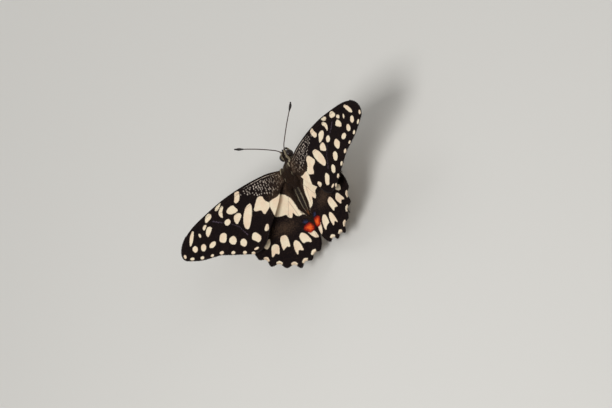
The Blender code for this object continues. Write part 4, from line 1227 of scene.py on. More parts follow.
def coat(name, slot, roots, normals, flow, length, width, lift, bend, pale, rust, unwrap, finish,
         to_world=body_to_world, rings=3, sink=0.06):
    """One piece of the coat, with a tone for each tuft and a tiny patch of the unwrap."""
    points, faces, along, owner = tufts(roots, normals, flow, length, width, lift, bend, rings, sink)
    tone = rng.random(len(roots))
    piece = make_mesh(name, to_world(points), faces, finish, {
        "along": along, "tone": tone[owner], "pale": pale[owner], "rust": rust[owner]})
    add_uv(piece, "OFBake", bake_places(unwrap, along, owner, rings))
    return hand_over(piece, slot)


print("tuft maker ready")

# %% [markdown]
# ### Thorax
#
# The lie of the coat follows the body: back and a little outward over the thorax, forward and up
# over the face, straight back over the abdomen. Roots are packed close, so that the skin hardly
# shows between them.

# %% Coat of the thorax
UPPER_TUFTS, LOWER_TUFTS = 10500, 8000


def near_wings(p):
    """One where a wing's root leaves the thorax, so that hair stays off it."""
    return ((np.abs(p[:, 0]) > 2.55) & (p[:, 1] > -3.6) & (p[:, 1] < 4.6) & (p[:, 2] > -0.9)).astype(float)


def thorax_weight(p):
    """Thick over the thorax, and thin where the wings leave it."""
    behind_head = p[:, 1] > -6.6
    return behind_head * (p[:, 1] < 4.6) * (1.0 - near_wings(p)) + 0.25 * near_wings(p) * behind_head


def thorax_coat(name, count, top):
    """Long hair that lies back. It is shorter where it would face forward, into the head."""
    roots, lie = scatter(skin_points, skin_quads, skin_normals, count,
                         lambda p: thorax_weight(p) * ((p[:, 2] > -1.3) == top))
    x, y = roots[:, 0], roots[:, 1]
    flow = np.stack([0.22 * np.sign(x) * np.clip(np.abs(x) / 2.5, 0, 1), np.ones(count),
                     np.full(count, -0.05)], axis=1) + rng.normal(0, 0.16, (count, 3))
    long = np.interp(y, [-6.6, -4.5, -1.0, 3.0, 4.6], [0.55, 0.75, 1.05, 1.25, 0.9]) * (1.0 if top else 0.75)
    long *= rng.uniform(0.7, 1.2, count) * (1.0 - np.clip(-lie[:, 1] - 0.35, 0.0, 0.55))
    return coat(name, "body_fur", roots, lie, flow, long, rng.uniform(0.06, 0.11, count),
                rng.uniform(0.10, 0.34, count), rng.uniform(0.10, 0.30, count), body_pale(roots),
                0.10 * rng.random(count), body_unwrap(roots), FUR_FINISH)


thorax_coat("thorax_fur_upper", UPPER_TUFTS, True)
thorax_coat("thorax_fur_lower", LOWER_TUFTS, False)

# %% [markdown]
# #### The waist
#
# Where the thorax meets the abdomen, longer hair hangs over the joint on both sides. It closes
# the dark slit that the lens would otherwise find beside the hair of the hindwings.

# %% Coat of the waist
count = 3200
roots, lie = scatter(skin_points, skin_quads, skin_normals, count,
                     lambda p: (p[:, 1] > 2.9) * (p[:, 1] < 6.4) * (p[:, 2] > -3.2) * (np.abs(p[:, 0]) > 0.5))
flow = np.stack([0.30 * np.sign(roots[:, 0]), np.ones(count), np.zeros(count)], axis=1)
long = np.interp(roots[:, 1], [2.9, 4.6, 6.4], [1.5, 1.9, 1.1]) * rng.uniform(0.6, 1.1, count)
coat("waist_fur", "body_fur", roots, lie, flow + rng.normal(0, 0.15, (count, 3)), long,
     rng.uniform(0.05, 0.09, count), rng.uniform(0.10, 0.42, count), rng.uniform(0.05, 0.25, count),
     0.6 * body_pale(roots), 0.10 * rng.random(count), body_unwrap(roots), FUR_FINISH)

# %% [markdown]
# #### Head and palps
#
# The head wears short bristles that stand further off the skin than the thorax's hair does. They
# turn forward and up over the face, and leave the eyes bare.

# %% Coat of the head


def in_eye(p):
    """One where the eye covers the skin, so that no hair grows through its lenses."""
    across = ((p[:, 1] - EYE_CENTRE[0]) / 1.30) ** 2 + ((p[:, 2] - EYE_CENTRE[1]) / 1.44) ** 2
    return ((across < 1.0) & (np.abs(p[:, 0]) > 0.9)).astype(float)


count = 6500
roots, lie = scatter(skin_points, skin_quads, skin_normals, count,
                     lambda p: (p[:, 1] <= -6.3) * (1.0 - in_eye(p)))
front = np.clip((-8.9 - roots[:, 1]) / 0.6, 0, 1)[:, None]
flow = (1 - front) * np.array([0.0, 1.0, 0.15]) + front * np.array([0.0, -0.55, 0.85])
flow = flow + rng.normal(0, 0.22, (count, 3))
coat("head_fur", "body_fur", roots, lie, flow, rng.uniform(0.28, 0.55, count),
     rng.uniform(0.045, 0.08, count), rng.uniform(0.25, 0.75, count), rng.uniform(0.0, 0.2, count),
     body_pale(roots), body_rust(roots), body_unwrap(roots), FUR_FINISH)

# %% [markdown]
# #### Abdomen
#
# The abdomen wears scales in place of hair: short, broad and nearly flat, each row over the next.
# Their roots hardly sink, so that the rings of the abdomen still show through them.

# %% Coat of the abdomen
for name, count, top in (("abdomen_scales_upper", 9500, True), ("abdomen_scales_lower", 8500, False)):
    roots, lie = scatter(skin_points, skin_quads, skin_normals, count,
                         lambda p: (p[:, 1] > 4.0) * ((p[:, 2] > -2.9) == top))
    flow = np.array([0.0, 1.0, 0.0]) + rng.normal(0, 0.08, (count, 3))
    coat(name, "abdomen_scales", roots, lie, flow, rng.uniform(0.26, 0.42, count),
         rng.uniform(0.09, 0.15, count), rng.uniform(0.14, 0.34, count), rng.uniform(0.05, 0.20, count),
         body_pale(roots), body_rust(roots), body_unwrap(roots), HAIR_FINISH, rings=2, sink=0.005)

# %% [markdown]
# ### Hair over the wing roots
#
# Long, thin brown hairs grow from the roots of all four wings and along the inner edges of the
# hindwings. They stream back over the shoulders of the abdomen, and close the gap that would
# otherwise show between wing and body. Their roots are drawn on the wing's sheet.

# %% Hair of the wings


def wing_hair(name, slot, wing, arch, side, out, back, run, length, lift, width=0.05):
    """Tufts that grow from a wing's upper face. run is the lie of each on the flat sheet."""
    half = (MEMBRANE + (ROOT_THICKNESS - MEMBRANE) * root_share(out)) / 2 - 0.03

    def place(out, back, height):
        return sheet_to_world(wing, side, out, back, arch(out, back) + height)

    roots = place(out, back, half)
    normals = place(out, back, half + 1.0) - roots
    flow = place(out + run[:, 0] * 0.1, back + run[:, 1] * 0.1, half) - roots
    unwrap = np.stack([0.02 + (out + 2) / 50, 0.02 + (back + 6) / 36], axis=1)
    count, none = len(out), np.zeros(len(out))
    return coat(name, slot, roots, normals, flow, length, width * rng.uniform(0.8, 1.3, count), lift,
                rng.uniform(0.15, 0.45, count), none, 0.10 * rng.random(count), unwrap, FUR_FINISH,
                to_world=np.asarray)


def hair_over(count, low, high, rim):
    """Random places of a sheet's box that lie inside its rim."""
    spots = rng.uniform(low, high, (count * 4, 2))
    bare = depth_in(spots, HIND_PATCH) < -0.15
    return spots[inside(spots, rim) & bare][:count].T


inner_line = curve_through(HIND_INNER[4:] + [(2.25, 3.6), (1.95, 2.0)], 0.2)
for side, end in SIDES:
    count = 5200
    pick = (rng.random(count) * (len(inner_line) - 1)).astype(int)
    share = 1.0 - pick / len(inner_line)
    out = inner_line[pick, 0] + 0.06 + rng.random(count) ** 1.6 * 1.5
    back = inner_line[pick, 1] + rng.uniform(-0.1, 0.1, count)
    run = np.stack([-0.55 + 0.35 * share + rng.normal(0, 0.18, count), np.ones(count)], axis=1)
    wing_hair("inner_hair_" + end, "body_fur", HIND, hind_arch, side, out, back, run,
              (1.9 - 1.0 * share) * rng.uniform(0.6, 1.1, count), rng.uniform(0.10, 0.50, count))
    out, back = hair_over(3200, (1.7, -3.0), (7.5, 4.0), FORE_RIM_LINE)
    run = np.stack([np.full(len(out), 0.55) + rng.normal(0, 0.15, len(out)),
                    0.35 + 0.25 * back + rng.normal(0, 0.15, len(out))], axis=1)
    long = np.interp(out, [1.7, 4.0, 7.5], [1.3, 1.0, 0.5]) * rng.uniform(0.6, 1.1, len(out))
    wing_hair("forewing_hair_" + end, "body_fur", FORE, fore_arch, side, out, back, run, long,
              rng.uniform(0.08, 0.35, len(out)), 0.04)
    out, back = hair_over(2400, (1.3, 0.2), (4.6, 7.0), HIND_RIM_LINE)
    run = np.stack([np.full(len(out), 0.05) + rng.normal(0, 0.18, len(out)), np.ones(len(out))], axis=1)
    long = np.interp(out, [1.3, 3.5, 6.0], [1.5, 1.0, 0.5]) * rng.uniform(0.6, 1.1, len(out))
    wing_hair("hindwing_hair_" + end, "body_fur", HIND, hind_arch, side, out, back, run, long,
              rng.uniform(0.08, 0.35, len(out)), 0.04)

# %% [markdown]
# ### Pale rims of the eyes
#
# A ring of short cream scales frames each eye, which is what makes the black head readable.

# %% Eye rims
for side, end in SIDES:
    count = 700
    turn = rng.random(count) * 2 * pi
    reach = rng.uniform(1.02, 1.16, count)
    roots = np.stack([side * rng.uniform(1.02, 1.22, count), EYE_CENTRE[0] + 1.28 * reach * np.cos(turn),
                      EYE_CENTRE[1] + 1.42 * reach * np.sin(turn)], axis=1)
    spread = np.stack([np.zeros(count), np.cos(turn), np.sin(turn)], axis=1)
    aside = np.tile([float(side), 0.0, 0.0], (count, 1))
    flow = 0.5 * spread + np.stack([np.zeros(count), -np.sin(turn), np.cos(turn)], axis=1)
    coat("eye_rim_" + end, "body_fur", roots, 0.55 * aside + 0.83 * spread, flow + 0.4 * aside,
         rng.uniform(0.22, 0.36, count), rng.uniform(0.05, 0.08, count), rng.uniform(0.1, 0.4, count),
         rng.uniform(0.0, 0.15, count), rng.uniform(0.75, 1.0, count), np.zeros(count),
         body_unwrap(roots), FUR_FINISH)

# %% [markdown]
# ## Repeats by Geometry Nodes
#
# Many parts of an insect repeat one small form: the rings of a feeler and of the tongue, the
# spines of a leg, the fringe of a wing. One node tree does them all. It puts a copy of a form on
# each point of a cloud, turns it by two stored directions, sizes it by a stored size with a little
# seeded variation, makes the copies real and gives them their finish.

# %% The repeating tree


def new_tree(name, **inputs):
    """A geometry tree with named inputs. Returns it, its writer and what it takes."""
    tree = bpy.data.node_groups.new(name, "GeometryNodeTree")
    tree.interface.new_socket("Geometry", in_out="INPUT", socket_type="NodeSocketGeometry")
    for label, kind in inputs.items():
        tree.interface.new_socket(label.replace("_", " "), in_out="INPUT",
                                  socket_type="NodeSocket" + kind)
    tree.interface.new_socket("Geometry", in_out="OUTPUT", socket_type="NodeSocketGeometry")
    return tree, Recipe(tree), tree.nodes.new("NodeGroupInput").outputs


def finish_tree(tree, recipe, shape, finish):
    """Makes the copies real, gives them their finish and hands them out."""
    real = recipe.fed("GeometryNodeRealizeInstances", {0: shape})[0]
    painted = recipe.fed("GeometryNodeSetMaterial", {"Geometry": real, "Material": finish})[0]
    recipe.fed("NodeGroupOutput", {0: painted})
    return tree


def run_tree(holder, tree, values):
    """Runs a tree on an object, removes the object and returns what the tree made as a plain mesh."""
    rule = holder.modifiers.new("rule", "NODES")
    rule.node_group = tree
    for item in tree.interface.items_tree:
        if item.item_type == "SOCKET" and item.in_out == "INPUT" and item.name in values:
            rule[item.identifier] = values[item.name]
    bpy.context.view_layer.update()
    mesh = bpy.data.meshes.new_from_object(holder.evaluated_get(bpy.context.evaluated_depsgraph_get()))
    bpy.data.objects.remove(holder)
    return mesh


def new_piece(name, mesh):
    mesh.name = name
    piece = bpy.data.objects.new(name, mesh)
    bpy.context.scene.collection.objects.link(piece)
    return piece


def repeat_tree():
    """Puts a form on each point of a cloud, turned and sized as the cloud's attributes say."""
    tree, recipe, takes = new_tree("repeat along points", Form="Object", Width="Float",
                                   Length="Float", Variation="Float", Seed="Int", Finish="Material")
    form = recipe.fed("GeometryNodeObjectInfo", {"Object": takes["Form"]})["Geometry"]
    aim, side, size = (recipe.fed("GeometryNodeInputNamedAttribute", {"Name": name},
                                  data_type="FLOAT_VECTOR")[0] for name in ("aim", "side", "size"))
    turn = recipe.fed("FunctionNodeAxesToRotation", {0: aim, 1: side},
                      primary_axis="Z", secondary_axis="X")[0]
    unit = recipe.fed("ShaderNodeCombineXYZ",
                      {0: takes["Width"], 1: takes["Width"], 2: takes["Length"]})[0]
    least = recipe.math("SUBTRACT", 1.0, takes["Variation"])
    most = recipe.math("ADD", 1.0, takes["Variation"])
    chance = recipe.fed("FunctionNodeRandomValue", {2: least, 3: most, "Seed": takes["Seed"]},
                        data_type="FLOAT")[1]
    sized = recipe.fed("ShaderNodeVectorMath", {0: size, 1: unit}, operation="MULTIPLY")[0]
    varied = recipe.fed("ShaderNodeVectorMath", {0: sized, "Scale": chance}, operation="SCALE")[0]
    copies = recipe.fed("GeometryNodeInstanceOnPoints", {"Points": takes["Geometry"], "Instance": form,
                                                         "Rotation": turn, "Scale": varied})[0]
    return finish_tree(tree, recipe, copies, takes["Finish"])


REPEAT, REPEAT_SEED = repeat_tree(), 11


def unit_form(name, points, faces):
    """A form of unit size that the tree copies. Its size in millimetres comes from the cloud."""
    item = make_mesh(name, np.asarray(points, float), faces)
    item.hide_render = True
    return item


def repeat(name, form, places, aims, sides, sizes, finish, variation=0.0, numbers=None):
    """Runs the tree on a cloud of points and returns a plain mesh object."""
    cloud = make_mesh(name, places, np.empty((0, 3), np.int32), None,
                      {"aim": aims, "side": sides, "size": sizes, **(numbers or {})}, smooth=False)
    mesh = run_tree(cloud, REPEAT, {"Form": form, "Width": 1.0, "Length": 1.0, "Variation": variation,
                                    "Seed": REPEAT_SEED, "Finish": finish})
    mesh.shade_smooth()
    return new_piece(name, mesh)


def lathe_form(name, profile, sides):
    """A turned unit form along Z from its profile of (height, radius)."""
    angle = 2 * pi * np.arange(sides) / sides
    rings = [np.stack([r * np.cos(angle), r * np.sin(angle), np.full(sides, h)], 1) for h, r in profile]
    ends = [[(0, 0, profile[0][0])], [(0, 0, profile[-1][0])]]
    return unit_form(name, np.vstack(rings + ends), grid_faces(len(profile), sides))


RING_FORM = lathe_form("ring form", [(-0.08, 0.80), (0.05, 0.93), (0.45, 1.0), (0.9, 0.95), (1.05, 0.80)], 14)
SPINE_FORM = lathe_form("spine form", [(-0.2, 1.0), (0.5, 0.7), (1.0, 0.12)], 5)


def shell_finish(name, dark, light, roughness, grain):
    """A satin shell with fine scales and a patchy tone."""
    finish, recipe, shader = new_finish(name, roughness, Specular_IOR_Level=0.4)
    place = recipe.node("ShaderNodeTexCoord").outputs["Object"]
    scales = recipe.group(SCALE_GRAIN, Place=place, Density=grain)
    patchy = recipe.noise(place, 900.0, 3.0)
    colour = recipe.blend(recipe.math("MULTIPLY", scales["Tone"], patchy), dark, light)
    recipe.feed(shader.inputs["Base Color"], colour)
    recipe.feed(shader.inputs["Roughness"], recipe.ramp(patchy, 0.3, 0.7, roughness - 0.08, roughness + 0.1))
    add_bump(recipe, shader, scales["Height"], 0.35, 0.00003)
    return finish


ANTENNA_FINISH = shell_finish("antenna shell", (0.020, 0.008, 0.006), (0.085, 0.032, 0.018), 0.45, 9000.0)
CLUB_FINISH = shell_finish("club shell", (0.006, 0.004, 0.004), (0.030, 0.014, 0.010), 0.4, 9000.0)
LEG_FINISH = shell_finish("leg shell", (0.016, 0.011, 0.009), (0.11, 0.08, 0.055), 0.5, 13000.0)
TONGUE_FINISH = shell_finish("tongue shell", (0.020, 0.010, 0.006), (0.10, 0.045, 0.02), 0.35, 7000.0)
print("repeating tree ready")

# %% [markdown]
# ## Eyes
#
# A butterfly's eye is a dome of hundreds of six-sided lenses. A ball of even triangles, turned into
# its dual, is made of six-sided faces. Each face is raised and drawn in a little, which leaves fine
# grooves between the lenses that sparkle under the lamp.

# %% Faceted eyes
EYE_RADII, HEAD_HALF = (1.10, 1.28, 1.42), 1.25


def eye_tree():
    """Turns a ball of triangles into its dual, and raises each face of that into a lens."""
    tree, recipe, takes = new_tree("faceted eye", Fineness="Int", Relief="Float", Lens_size="Float",
                                   Size="Vector", Finish="Material")
    dome = recipe.fed("GeometryNodeMeshIcoSphere",
                      {"Radius": 1.0, "Subdivisions": takes["Fineness"]})["Mesh"]
    dual = recipe.fed("GeometryNodeDualMesh", {0: dome})[0]
    raised = recipe.fed("GeometryNodeExtrudeMesh", {"Mesh": dual, "Offset Scale": takes["Relief"],
                                                    "Individual": True}, mode="FACES")
    drawn = recipe.fed("GeometryNodeScaleElements", {"Geometry": raised["Mesh"], "Scale": takes["Lens size"],
                                                     "Selection": raised["Top"]}, domain="FACE")[0]
    sized = recipe.fed("GeometryNodeTransform", {"Geometry": drawn, "Scale": takes["Size"]})[0]
    return finish_tree(tree, recipe, sized, takes["Finish"])


def eye_finish():
    finish, recipe, shader = new_finish("eye lenses", 0.3, Specular_IOR_Level=0.5, Coat_Weight=0.25,
                                        Coat_Roughness=0.2)
    place = recipe.node("ShaderNodeTexCoord").outputs["Object"]
    cloudy = recipe.noise(place, 900.0, 3.0)
    colour = recipe.blend(cloudy, (0.005, 0.0035, 0.003), (0.026, 0.012, 0.008))
    recipe.feed(shader.inputs["Base Color"], colour)
    recipe.feed(shader.inputs["Roughness"], recipe.ramp(cloudy, 0.2, 0.8, 0.24, 0.38))
    return finish


EYE_TREE, EYE_FINISH = eye_tree(), eye_finish()
LENSES = {"Fineness": 5, "Relief": 0.022, "Lens size": 0.80, "Size": tuple(r * MM for r in EYE_RADII),
          "Finish": EYE_FINISH}
for side, end in SIDES:
    name = "eye_lenses_" + end
    seed = make_mesh(name, np.zeros((1, 3)), np.empty((0, 3), np.int32), smooth=False)
    mesh = run_tree(seed, EYE_TREE, LENSES)
    centre = np.array([side * (HEAD_HALF + 0.3), *EYE_CENTRE])
    points = np.empty(len(mesh.vertices) * 3)
    mesh.vertices.foreach_get("co", points)
    points = points.reshape(-1, 3) / MM
    points[:, 0] = np.where(side * points[:, 0] > 0, points[:, 0], points[:, 0] * 0.55)
    mesh.vertices.foreach_set("co", (body_to_world(points + centre) * MM).astype(np.float32).ravel())
    mesh.update()
    hand_over(new_piece(name, mesh), "eye", "eye_" + end)

# %% [markdown]
# ## Feelers
#
# Each feeler is a thin stalk of some forty rings that ends in a black, slightly bent club. The
# rings are what the eye reads as fine, so they are real: the tree sets one on each point of the
# stalk, aimed along it.

# %% Antennae
ANTENNA_FOOT, ANTENNA_AIM = (0.62, -9.20, -1.15), (0.35, -0.85, 0.40)
ANTENNA_TIP, ANTENNA_BOW, CLUB_LENGTH = (14.0, -18.8, 4.5), 0.35, 3.2
SHAFT_RADIUS, CLUB_RADIUS = 0.17, 0.46


def antenna_line(side):
    """The stalk's route, in the body frame, as the solid has it."""
    aim = np.array(ANTENNA_AIM) / np.linalg.norm(ANTENNA_AIM)
    foot = np.array(ANTENNA_FOOT)
    knee = foot + aim * (0.75 + 0.3 + 0.7)
    tip = np.array(ANTENNA_TIP)
    across = np.cross(tip - knee, (0, 0, 1.0))
    across /= np.linalg.norm(across)
    t = np.linspace(0, 1, 15)[:, None]
    line = knee + (tip - knee) * t + across * ANTENNA_BOW * np.sin(pi * t)
    line[-1] += (0, 0, 0.25)
    line = curve_through(np.vstack([foot + aim * 0.4, foot + aim * 1.15, line[1:]]), 0.05)
    return line * np.array([side, 1, 1])


def along_line(line, spacing):
    """Evenly spaced places on a line with their directions and their share of its length."""
    steps = lengths_along(line)
    places = np.arange(0, steps[-1], spacing)
    at = np.stack([np.interp(places, steps, line[:, k]) for k in range(3)], 1)
    ahead = np.stack([np.interp(places + spacing, steps, line[:, k]) for k in range(3)], 1)
    run = ahead - at
    run[-1] = run[-2]
    return at, run / np.linalg.norm(run, axis=1)[:, None], places, steps[-1]


for side, end in SIDES:
    line = body_to_world(antenna_line(side))
    at, run, places, total = along_line(line, 0.42)
    t = np.clip((places + 0.21 - total + CLUB_LENGTH) / CLUB_LENGTH, 0, 1)
    radius = SHAFT_RADIUS + (CLUB_RADIUS - SHAFT_RADIUS) * np.sin(pi * np.clip(t, 0, 0.92) ** 1.3)
    radius[0], radius[1] = 0.30, 0.24
    sizes = np.stack([radius, radius, np.full(len(at), 0.43)], 1)
    sideways = np.tile([0.0, 0.0, 1.0], (len(at), 1))
    rings = repeat("antenna_rings_" + end, RING_FORM, at, run, sideways, sizes, ANTENNA_FINISH)
    rings.data.materials.clear()
    for finish in (ANTENNA_FINISH, CLUB_FINISH):
        rings.data.materials.append(finish)
    club_start = line[np.searchsorted(np.linspace(0, 1, len(line)), 1 - CLUB_LENGTH * 0.95 / total)]
    for face in rings.data.polygons:
        face.material_index = int((face.center / MM - Vector(club_start)).dot(Vector(run[-1])) > 0)
    hand_over(rings, "antenna", "antenna_" + end)

# %% [markdown]
# ## The tongue
#
# At rest the tongue is coiled under the head like a watch spring. It is ringed as finely as a hose,
# so the same tree makes it from short overlapping rings.

# %% Proboscis
MOUTH, MOUTH_AIM = np.array((0.0, -9.0, -2.9)), np.array((0.0, -0.50, -0.87)) / np.hypot(0.50, 0.87)
TONGUE_RADIUS, COIL_RADIUS, COIL_PITCH, COIL_TURNS = 0.20, 1.15, 0.62, 1.45
start = MOUTH + MOUTH_AIM * (0.95 + 0.3 + 0.55)
inward = np.array([0.0, -MOUTH_AIM[2], MOUTH_AIM[1]])
centre = start + inward * COIL_RADIUS
turn_angle = np.linspace(0, 2 * pi * COIL_TURNS, 90)
radius = (COIL_RADIUS - COIL_PITCH * turn_angle / (2 * pi))[:, None]
coil = centre - radius * (np.cos(turn_angle)[:, None] * inward - np.sin(turn_angle)[:, None] * MOUTH_AIM)
line = body_to_world(np.vstack([MOUTH + MOUTH_AIM * 0.2, MOUTH + MOUTH_AIM * 0.8, coil]))
at, run, places, total = along_line(line, 0.11)
girth = TONGUE_RADIUS * np.interp(places / total, [0, 0.1, 0.9, 1], [1.25, 1.0, 0.8, 0.55])
tongue = repeat("tongue_rings", RING_FORM, at, run, np.tile([1.0, 0, 0], (len(at), 1)),
                np.stack([girth, girth, np.full(len(at), 0.13)], 1), TONGUE_FINISH)
hand_over(tongue, "tongue", "proboscis")

# %% [markdown]
# ## Legs
#
# A leg has a hip, a thigh, a shin and a foot of five short joints with two hooked claws. The tube
# follows the solid's own route and swells and narrows at each joint, as a real leg does where
# its plates meet.

# %% Shape of a leg
LEG_SOCKETS = {
    "front": ((1.00, -3.90, -3.40), (0.45, -0.35, -0.82), 1.60),
    "middle": ((1.10, -1.00, -3.90), (0.55, 0.00, -0.84), 1.70),
    "hind": ((1.00, 1.90, -3.80), (0.50, 0.35, -0.79), 1.60),
}
LEG_JOINTS = {
    "front": ((4.2, -7.9, 7.5), (6.3, -11.4), (8.6, -16.2)),
    "middle": ((7.0, -1.8, 7.8), (9.4, -0.2), (12.4, 3.4)),
    "hind": ((5.8, 6.8, 7.2), (8.4, 12.8), (10.8, 19.0)),
}
ANKLE_HEIGHT, FOOT_AXIS = 1.0, 0.22


def leg_joints(place, side):
    """The joints in the floor frame, in millimetres."""
    centre, aim, length = LEG_SOCKETS[place]
    aim = np.array(aim) / np.linalg.norm(aim)
    hip = body_to_world([np.array(centre) + aim * (length - 0.5), np.array(centre) + aim * (length + 1.4)])
    knee, ankle, toe = LEG_JOINTS[place]
    shift = np.array([0.0, BODY_ORIGIN[1], 0.0])
    knee = np.array(knee) + shift
    ankle, toe = np.array((*ankle, ANKLE_HEIGHT)) + shift, np.array((*toe, FOOT_AXIS)) + shift
    heel = ankle + (toe - ankle) * 0.22
    heel[2] = FOOT_AXIS
    joints = np.vstack([hip, knee, ankle, heel, toe])
    return joints * np.array([side, 1, 1])


def rounded(joints, bend, step):
    """A line that runs straight from joint to joint and rounds each corner."""
    line = [joints[0]]
    for before, here, after in zip(joints, joints[1:], joints[2:]):
        enter = here + (before - here) / np.linalg.norm(before - here) * bend
        leave = here + (after - here) / np.linalg.norm(after - here) * bend
        line += [enter, (enter + leave + 2 * here) / 4, leave]
    line.append(joints[-1])
    fine = [line[0]]
    for a, b in zip(line, line[1:]):
        count = max(1, int(round(np.linalg.norm(b - a) / step)))
        fine += [a + (b - a) * (k + 1) / count for k in range(count)]
    return np.array(fine)


def leg_radius(places, marks):
    """Thigh and shin swell between their joints; the foot is a row of five small joints."""
    hip, knee, ankle, toe = marks
    radius = np.interp(places, [0, hip, (hip + knee) / 2, knee - 0.4, knee, knee + 0.5, ankle - 0.6,
                                ankle, ankle + 0.3, toe - 0.5, toe],
                       [0.46, 0.36, 0.42, 0.27, 0.29, 0.23, 0.22, 0.25, 0.17, 0.15, 0.10])
    foot = np.clip((places - ankle) / (toe - ankle), 0, 1)
    beads = 0.035 * np.abs(np.sin(pi * 5 * np.clip(foot, 0, 0.999))) ** 0.6 * (places > ankle)
    return radius + beads


def leg_tube(line, radius, joints):
    """The leg itself with its two hooked claws, as points and triangles."""
    parts = [sweep(line, radius, 14, floor=0.0)]
    toe, ahead = joints[-1], joints[-1] - joints[-2]
    ahead /= np.linalg.norm(ahead)
    aside = np.cross(ahead, (0, 0, 1.0))
    for way in (1, -1):
        claw = [toe - ahead * 0.1, toe + ahead * 0.02 + aside * way * 0.12 + (0, 0, 0.06),
                toe + ahead * 0.05 + aside * way * 0.2 - (0, 0, 0.08),
                toe - ahead * 0.02 + aside * way * 0.22 - (0, 0, 0.19)]
        claw = curve_through(claw, 0.05)
        parts.append(sweep(claw, np.linspace(0.06, 0.012, len(claw)), 6, floor=0.0))
    return join_forms(parts)


print("leg sockets:", *LEG_SOCKETS)

# %% [markdown]
# ### Spines and scales of a leg
#
# Three rows of stiff spines run down shin and foot, which is what grips a flower. Between them the
# leg is covered with short scales that lie towards the foot. Both keep clear of the floor.

# %% Leg coat
SPINE_ROWS, LEG_SCALES, SPINE_SIZE = 3, 1100, [0.035, 0.035, 0.38]


def around(run, spin):
    """Directions square to each run, turned round it by spin."""
    first = np.cross(run, (0, 0, 1.0))
    first /= np.linalg.norm(first, axis=1)[:, None]
    return first * np.cos(spin)[:, None] + np.cross(run, first) * np.sin(spin)[:, None]


def above_floor(points):
    """A scale under the foot is pressed flat by the floor."""
    return np.maximum(points, (-1000.0, -1000.0, 0.005))


def leg_spines(name, line, marks):
    at, run, places, total = along_line(line, 0.30)
    keep = (places > marks[1] + 0.3) & (places < total - 0.3)
    at, run = np.repeat(at[keep], SPINE_ROWS, axis=0), np.repeat(run[keep], SPINE_ROWS, axis=0)
    girth = np.repeat(leg_radius(places[keep], marks), SPINE_ROWS)
    spin = 2 * pi * (np.arange(len(at)) % SPINE_ROWS) / SPINE_ROWS + rng.uniform(-0.4, 0.4, len(at)) + 0.5
    away = around(run, spin)
    aims = away + run * 1.5
    at = at + away * (girth * 0.8)[:, None]
    tips = at + aims / np.linalg.norm(aims, axis=1)[:, None] * 0.5
    keep = (at[:, 2] > 0.30) & (tips[:, 2] > 0.05)
    sizes = np.tile(SPINE_SIZE, (keep.sum(), 1))
    return repeat(name, SPINE_FORM, at[keep], aims[keep], run[keep], sizes, LEG_FINISH, 0.3)


def leg_scales(name, line, steps, radius):
    count = LEG_SCALES
    pick = rng.integers(2, len(line) - 2, count)
    ahead = np.gradient(line, axis=0)[pick]
    ahead /= np.linalg.norm(ahead, axis=1)[:, None]
    spin = rng.random(count) * 2 * pi
    away = around(ahead, spin)
    roots = line[pick] + away * radius[pick][:, None] + ahead * rng.uniform(-0.08, 0.08, count)[:, None]
    keep = roots[:, 2] > 0.12
    count = keep.sum()
    unwrap = np.stack([spin / (2 * pi), steps[pick] / steps[-1]], axis=1)[keep]
    return coat(name, "leg", roots[keep], away[keep], ahead[keep] + rng.normal(0, 0.1, (count, 3)),
                rng.uniform(0.14, 0.26, count), rng.uniform(0.04, 0.07, count),
                rng.uniform(0.12, 0.4, count), rng.uniform(0.05, 0.2, count),
                0.35 * rng.random(count) ** 3, np.zeros(count), unwrap, HAIR_FINISH,
                to_world=above_floor, rings=2, sink=0.01)


print("spines in", SPINE_ROWS, "rows,", LEG_SCALES, "scales tried for each leg")

# %% [markdown]
# All six legs follow the same steps, with only their joints and their side changed.

# %% Build the legs
for place in LEG_SOCKETS:
    for side, end in SIDES:
        joints = leg_joints(place, side)
        line = rounded(joints, 0.45, 0.16)
        steps = lengths_along(line)
        marks = [steps[np.argmin(np.linalg.norm(line - j, axis=1))] for j in joints[[1, 2, 3, 5]]]
        radius = leg_radius(steps, marks)
        leg = make_mesh(f"leg_joints_{place}_{end}", *leg_tube(line, radius, joints), LEG_FINISH)
        hand_over(leg, "leg", f"leg_{place}_{end}")
        hand_over(leg_spines(f"leg_spines_{place}_{end}", line, marks), "leg")
        leg_scales(f"leg_scales_{place}_{end}", line, steps, radius)

# %% [markdown]
# ## Wing fringes
#
# The edge of a butterfly's wing is not a cut line. Narrow scales stand out from it in two
# staggered rows, cream in the notches between the veins and black elsewhere.

# %% Fringes
SCALE_FORM = unit_form("fringe form", [(-0.5, -0.12, -0.3), (0.5, -0.12, -0.3), (0.0, 0.2, -0.3),
                                       (-0.42, -0.1, 0.5), (0.42, -0.1, 0.5), (0.0, 0.14, 0.5), (0, 0, 1.0)],
                       [(0, 2, 1), (0, 1, 4), (0, 4, 3), (1, 2, 5), (1, 5, 4), (2, 0, 3), (2, 3, 5),
                        (3, 4, 6), (4, 5, 6), (5, 3, 6)])


def fringe_finish():
    finish, recipe, shader = new_finish("fringe scales", 0.6, Specular_IOR_Level=0.3)
    pale = recipe.blend(recipe.attribute("tone"), CREAM, PEACH)
    dark = recipe.blend(recipe.attribute("tone"), BLACK, BROWN)
    recipe.feed(shader.inputs["Base Color"], recipe.blend(recipe.attribute("pale"), dark, pale))
    return finish


FRINGE_FINISH = fringe_finish()
FRINGE_STEP, FRINGE_SINK, PROBE = 0.075, 0.12, 0.1


